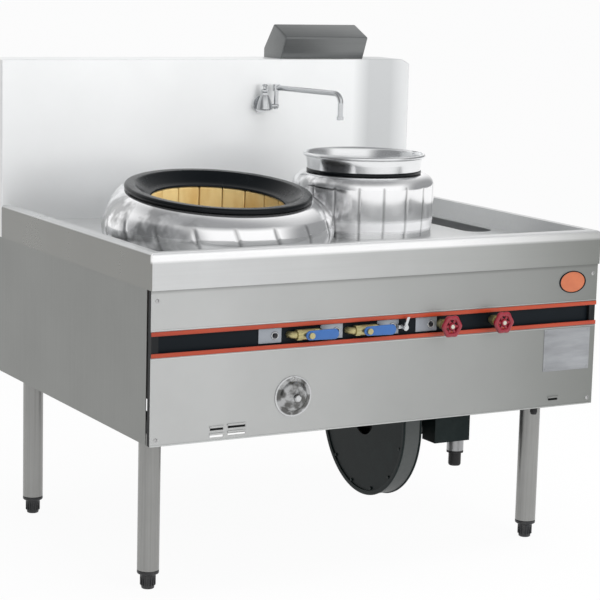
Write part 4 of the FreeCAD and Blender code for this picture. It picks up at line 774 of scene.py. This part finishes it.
for side, x in WHEELS.items():
    fit(copied(wheel, (x, WHEEL_FRONT, CONTROL_HEIGHT), (90, 0, 0)), "lobed_wheel_" + side,
        wheel_red, "handwheel_" + side, ["handwheel_" + side])
    fit(copied(lock_nut, (x, WHEEL_FRONT + 0.6, CONTROL_HEIGHT), (90, 0, 0)), "wheel_nut_" + side,
        nut_metal, "handwheel_" + side)
    fit(copied(spindle, (x, WHEEL_FRONT + 4, CONTROL_HEIGHT), (90, 0, 0)), "wheel_spindle_" + side,
        valve_brass, "handwheel_" + side)
for part in (wheel, lock_nut, spindle):
    bpy.data.objects.remove(part)


# ---------------------------------------------------------------------------
# Ignition cover. A spun and polished dish with a small knob, hung from one
# screw so that it swings away from the port.
# ---------------------------------------------------------------------------
COVER_HEIGHT = 457
COVER_LIP = 44.5
KNOB_RADIUS = 5

cover_steel = steel("cover_steel", (205, 206, 207), 0.2, (40, 40, 40), 0.95, 0.15, 0.2)
# Painted reflection: the dish between its knob and its lip is painted darker in streaks, and lighter
# between them, for the dark surroundings it mirrors.
centred = cover_steel.add("Mapping", {}, {"Vector": cover_steel.place,
                                         "Location": (-WOK_X * MM, 0, -COVER_HEIGHT * MM)})
x, z = (cover_steel.add("SeparateXYZ", {}, [centred], axis) for axis in (0, 2))
reach = cover_steel.add("Math", {"operation": "SQRT"}, [x * x + z * z])
dark_reflection = cover_steel.share(reach, COVER_LIP * MM, (COVER_LIP - 2.5) * MM)
dark_reflection *= cover_steel.share(reach, KNOB_RADIUS * MM, (KNOB_RADIUS + 3) * MM)
dark_reflection_streak = cover_steel.share(cover_steel.noise(52.0, (1, 1, 1), 2.0, 0.5), 0.62, 0.44)
cover_steel.tint(dark_reflection * (0.35 + dark_reflection_streak * 0.6), paint(88, 88, 86))
dish = turned([(0, 9.8), (10, 9.8)] + arc((20, -2), 12.0, 85, 30, 5) + [(34.5, 0.4), (46, 0.3)]
              + arc((46.2, 1.1), 0.9, -60, 90, 4) + [(37, 1.9)] + arc((24, -1.6), 11.6, 25, 88, 6)
              + [(10, 11.6), (8.4, 12.6)] + [(6.4, 14), (6.2, 17)] + arc((4.5, 22.5), 5.2, -50, 85, 8)
              + [(0, 27.6)], 120)
fit(settle(dish, (WOK_X, PANEL_FRONT, COVER_HEIGHT), (90, 0, 0)), "spun_dish", cover_steel,
    "ignition_cover", ["ignition_cover"], 50)


# ---------------------------------------------------------------------------
# Wok ring and its collar. A heavy black iron ring tipped to the cook, over a
# bulging collar of bright sheet, creased where it was hammered round.
# ---------------------------------------------------------------------------
CREASES = 18
CREASE_START = 13.6
CREASE_SLANT = 18
CREASE_MIDDLE = 791.5
BAND_TOP = 826
COLLAR_TOP = RING_HEIGHT - 14
COLLAR_RADIUS = 272
COLLAR_NECK = 223
SHOULDER_TURN = math.radians(52)


def creased(piece, start, slant, middle, top, fade, radius, depth):
    """Press narrow creases into the outer wall, with a shallow hollow along each. They lean by the
    slant, are in place at the middle height and fade out towards the top."""
    for point in piece.data.vertices:
        spot = point.co / MM
        out = math.hypot(spot.x, spot.y)
        angle = math.degrees(math.atan2(spot.y, spot.x))
        slip = math.degrees((middle - spot.z) * math.tan(math.radians(slant)) / radius)
        off = (angle - start - slip + 180 / CREASES) % (360 / CREASES) - 180 / CREASES
        across = math.radians(off) * radius
        share = min(1, max(0, (top - spot.z) / fade))
        pull = (depth * math.exp(-(across / 3.0) ** 2) + 0.35 * math.exp(-(across / 14) ** 2)) * share
        point.co.x *= (out - pull) / out
        point.co.y *= (out - pull) / out


def bright_steel(name, middle, start, slant, height, top, radius):
    """Polished sheet about an upright axis, darker along the creases from grime and painted shade, and with
    painted dark reflections in patches on its flanks."""
    finish = steel(name, (253, 253, 254), 0.14, (30, 30, 4), 0.95, 0.05, 0.08, 2.4, 0.9)
    spot = finish.add("Mapping", {}, {"Vector": finish.place,
                                      "Location": (-middle[0] * MM, -middle[1] * MM, 0)})
    x, y, z = (finish.add("SeparateXYZ", {}, [spot], axis) for axis in range(3))
    angle = finish.add("Math", {"operation": "ARCTAN2"}, [y, x])
    slip = (height * MM - z) * (math.tan(math.radians(slant)) / (radius * MM))
    wave = finish.add("Math", {"operation": "SINE"}, [(angle - slip - math.radians(start)) * (CREASES / 2)])
    crest = finish.add("Math", {"operation": "ABSOLUTE"}, [wave])
    # Grime and painted shade along the creases.
    line = finish.share(crest, 0.26, 0.02) * finish.share(z, (top + 1) * MM, (top - 5) * MM)
    finish.tint(line * 0.55, paint(112, 114, 114))
    # Painted dark reflections on the flanks, broken into patches.
    flank = finish.share(x, -0.45 * radius * MM, -0.95 * radius * MM)
    flank += finish.share(x, 0.72 * radius * MM, 0.98 * radius * MM)
    reflection_patches = finish.noise(24.0, (1, 1, 1), 2.0, 0.5)
    finish.tint(flank * finish.share(reflection_patches, 0.6, 0.44) * 0.6, paint(96, 98, 98))
    return finish


collar_steel = bright_steel("collar_steel", (WOK_X, WOK_Y), CREASE_START, CREASE_SLANT, CREASE_MIDDLE,
                            BAND_TOP, COLLAR_RADIUS)
outer_wall = [(COLLAR_NECK - 5, COLLAR_TOP), (COLLAR_NECK, COLLAR_TOP)]
for step in range(1, 13):
    turn_at = SHOULDER_TURN * step / 12
    out = math.sin(turn_at) / math.sin(SHOULDER_TURN)
    rise = (math.cos(turn_at) - math.cos(SHOULDER_TURN)) / (1 - math.cos(SHOULDER_TURN))
    outer_wall.append((COLLAR_NECK + (COLLAR_RADIUS - COLLAR_NECK) * out,
                       BAND_TOP + (COLLAR_TOP - BAND_TOP) * rise))
outer_wall += [(275.0, 818), (277.5, 809), (279.0, 800), (279.4, 791), (278.4, 782), (275.5, 773),
               (270, 764), (262, PAN_FLOOR)]
inner_wall = [(radius - 2.4, height - (1.8 if height > BAND_TOP else 0))
              for radius, height in reversed(outer_wall)]
collar = turned(outer_wall + inner_wall, 540)
creased(collar, CREASE_START, CREASE_SLANT, CREASE_MIDDLE, BAND_TOP - 1, 9, COLLAR_RADIUS, 1.8)
for point in collar.data.vertices:
    spot = point.co / MM
    if spot.z > BAND_TOP:
        point.co.z += lean(spot.y) * (spot.z - BAND_TOP) / (COLLAR_TOP - BAND_TOP) * MM
fit(settle(collar, (WOK_X, WOK_Y, 0)), "hammered_collar", collar_steel, "range",
    ["wok_collar"], 50)

black_iron = Finish("black_iron", paint(4, 8, 12), 0.24, 0.0, Specular_IOR_Level=0.24)
worn = black_iron.noise(18.0, (1, 1, 1), 5.0, 0.65)
black_iron.tint(black_iron.share(worn, 0.55, 0.75) * 0.4, paint(20, 25, 28))
black_iron.set("Roughness", worn * 0.25 + 0.12)
black_iron.bump(black_iron.noise(120.0, (1, 1, 1), 4.0, 0.65), 0.12, 0.0008)
casting = turned([(161, -32), (172, -32), (206, -16), (206, -14), (219, -14)]
                 + arc((219, -7), 7, -75, 90, 10) + [(212, 0.0), (206, -0.3)]
                 + arc((205, -9), 8.7, 95, 135, 4) + [(190, -11.2), (176, -21), (166, -28)]
                 + arc((165, -31), 3.2, 100, 185, 4), 180)
settle(casting, (WOK_X, WOK_Y, RING_HEIGHT), (RING_TILT, 0, 0))
fit(casting, "ring_casting", black_iron, "wok_ring", ["wok_ring"], 50)


# ---------------------------------------------------------------------------
# Warm pot. A deep stainless basin with a rolled rim, which hangs in a black
# ring on its bright housing, a spun drum with upright creases.
# ---------------------------------------------------------------------------
POT_X = 208
POT_Y = -30
HOUSING_TOP = 905
DRUM_RADIUS = 179
DRUM_START = 16.2
DRUM_MIDDLE = 800
CREASE_TOP = 884
POT_RIM = 955
POT_SEAT = 914.3

shoulder = arc((149, 875), 30, 0, 88, 12)
drum_wall = [(174.5, PAN_FLOOR), (175, 766), (177, 790), (178.4, 820), (DRUM_RADIUS, 850)]
drum_wall += shoulder + [(131, HOUSING_TOP)]
drum_core = [(max(129.2, radius - 2), height - (2 if height > 880 else 0))
             for radius, height in reversed(drum_wall)]
drum = turned(drum_wall + drum_core, 540)
creased(drum, DRUM_START, 0, DRUM_MIDDLE, CREASE_TOP, 22, DRUM_RADIUS, 1.6)
drum_steel = bright_steel("drum_steel", (POT_X, POT_Y), DRUM_START, 0, DRUM_MIDDLE, CREASE_TOP, DRUM_RADIUS)
unpolished = drum_steel.along("Z", 803, 793) * drum_steel.along("Z", 766, 776)
drum_steel.set("Metallic", 0.95 - unpolished * 0.8)
settle(drum, (POT_X, POT_Y, 0))
fit(drum, "creased_drum", drum_steel, "range", ["pot_housing"], 50)
show("pot_support_ring", black_iron, 35)

pot_steel = steel("pot_steel", (240, 241, 242), 0.16, (30, 30, 200), 0.97, 0.08, 0.15, 1.0, 0.9)
pot = turned([(0, 750), (96, 750)] + arc((96, 780), 30, -80, 0, 8)
             + [(126, 905), (127, 911), (130, POT_SEAT), (143, POT_SEAT), (144.6, 930), (146.6, 945)]
             + arc((150, POT_RIM - 5), 5, 225, 450, 14)
             + [(146.4, 953.5), (144.2, 947), (142.8, 930), (141.4, 916), (130, 916), (125.4, 911.5)]
             + [(124.5, 905)] + arc((96, 780), 28.5, 0, -80, 8) + [(96, 751.5), (0, 751.5)], 180)
fit(settle(pot, (POT_X, POT_Y, 0)), "rolled_pot", pot_steel, "warm_pot", ["warm_pot"], 50)


# ---------------------------------------------------------------------------
# Swing tap. A bell-shaped chrome body on the splashback with a long spout
# that turns over the pot and the ring.
# ---------------------------------------------------------------------------
for name in ("tap_body", "tap_handle", "swing_spout"):
    show(name, bright_chrome, 35)


# ---------------------------------------------------------------------------
# Floor, light and camera. A pale studio floor under soft lamps, seen from the
# left of the cook at chest height. What the steel mirrors is white low down
# and grey overhead and far to the sides.
# ---------------------------------------------------------------------------
bpy.ops.mesh.primitive_plane_add(size=400, location=(0, 0, 0))
floor = bpy.context.object
floor.name = "floor"


def wire(tree, kind, values=(), output=0, **settings):
    """A node of the stage with its settings and its inputs set or linked, by its output."""
    made = tree.nodes.new("ShaderNode" + kind)
    for key, value in settings.items():
        setattr(made, key, value)
    for key, value in enumerate(values):
        if isinstance(value, bpy.types.NodeSocket):
            tree.links.new(value, made.inputs[key])
        elif value is not None:
            made.inputs[key].default_value = value
    return made.outputs[output]


def straight_rays(tree):
    """1 where the camera, a mirror or glass sees the surface, and 0 for the light that it gives."""
    seen = wire(tree, "LightPath", output="Is Camera Ray")
    for kind in ("Is Glossy Ray", "Is Transmission Ray"):
        seen = wire(tree, "Math", (seen, wire(tree, "LightPath", output=kind)), operation="MAXIMUM")
    return seen


FLOOR_GLOW = 0.95
pale = bpy.data.materials.new("pale_floor")
pale.use_nodes = True
tree = pale.node_tree
tree.nodes.clear()
matte = wire(tree, "BsdfDiffuse", [(0.88, 0.88, 0.88, 1)])
glow = wire(tree, "Emission", [(1, 1, 1, 1), 1.0])
mostly = wire(tree, "Math", (straight_rays(tree), FLOOR_GLOW), operation="MULTIPLY")
wire_out = tree.nodes.new("ShaderNodeOutputMaterial")
tree.links.new(wire(tree, "MixShader", (mostly, matte, glow)), wire_out.inputs[0])
floor.data.materials.append(pale)
floor.select_set(False)

SIDE_GREY = (0.26, 0.265, 0.27, 1)
OVERHEAD_GREY = (0.28, 0.285, 0.29, 1)
world = bpy.data.worlds.new("studio")
bpy.context.scene.world = world
world.use_nodes = True
air = world.node_tree
air.nodes.clear()
height = wire(air, "SeparateXYZ", [wire(air, "TexCoord", output="Generated")], 2)
overhead = wire(air, "MapRange", (height, 0.45, 1.0, 0.0, 1.0), clamp=True, interpolation_type="SMOOTHSTEP")
aside = wire(air, "Math", [wire(air, "SeparateXYZ", [wire(air, "TexCoord", output="Generated")], 0)],
             operation="ABSOLUTE")
aside = wire(air, "MapRange", (aside, 0.5, 0.9, 0.0, 1.0), clamp=True, interpolation_type="SMOOTHSTEP")
level_light = wire(air, "Mix", (aside, None, None, None, None, None, (1, 1, 1, 1), SIDE_GREY), 2,
                   data_type="RGBA")
studio = wire(air, "Mix", (overhead, None, None, None, None, None, level_light, OVERHEAD_GREY), 2,
              data_type="RGBA")
plain = wire(air, "Background", [(0.60, 0.61, 0.63, 1), 0.8])
mirrored = wire(air, "Background", [studio, 1.0])
sky = air.nodes.new("ShaderNodeOutputWorld")
air.links.new(wire(air, "MixShader", (straight_rays(air), plain, mirrored)), sky.inputs[0])


def soft_lamp(name, place, aim, size, power):
    """A large square lamp that faces a point. Steel doesn't mirror its shape."""
    bpy.ops.object.light_add(type="AREA", location=place)
    lamp = bpy.context.object
    lamp.name = name
    lamp.data.size = size
    lamp.data.energy = power
    lamp.visible_glossy = False
    lamp.rotation_euler = (Vector(aim) - Vector(place)).to_track_quat("-Z", "Y").to_euler()
    lamp.select_set(False)


soft_lamp("lamp_over", (0.3, -0.6, 4.2), (0, 0, 0.8), 3.2, 90)
soft_lamp("lamp_front", (1.2, -4.6, 2.2), (0, 0, 0.7), 3.0, 110)
soft_lamp("lamp_right", (4.0, -0.8, 2.2), (0, 0, 0.7), 2.4, 40)

# The camera stands 4.46 m before the range's middle and 2.45 m to its left, 1.43 m over the floor.
CAMERA_PLACE = (-2.44533, -4.45870, 1.43387)
CAMERA_YAW = 0.51024
CAMERA_PITCH = 0.16546
CAMERA_ROLL = 0.02568
CAMERA_FOCUS = 2046.84
IMAGE_SIDE = 600
SENSOR = 36
ahead = Vector((math.sin(CAMERA_YAW) * math.cos(CAMERA_PITCH),
                math.cos(CAMERA_YAW) * math.cos(CAMERA_PITCH), -math.sin(CAMERA_PITCH)))
level = Vector((math.cos(CAMERA_YAW), -math.sin(CAMERA_YAW), 0))
above = level.cross(ahead)
right = math.cos(CAMERA_ROLL) * level + math.sin(CAMERA_ROLL) * above
up = -math.sin(CAMERA_ROLL) * level + math.cos(CAMERA_ROLL) * above
bpy.ops.object.camera_add()
camera = bpy.context.object
camera.data.sensor_width = SENSOR
camera.data.lens = CAMERA_FOCUS * SENSOR / IMAGE_SIDE
camera.data.clip_end = 500
turn = Matrix((right, up, -ahead)).transposed()
camera.matrix_world = Matrix.Translation(CAMERA_PLACE) @ turn.to_4x4()
bpy.context.scene.camera = camera
camera.select_set(False)
bpy.context.scene.view_settings.view_transform = "Standard"
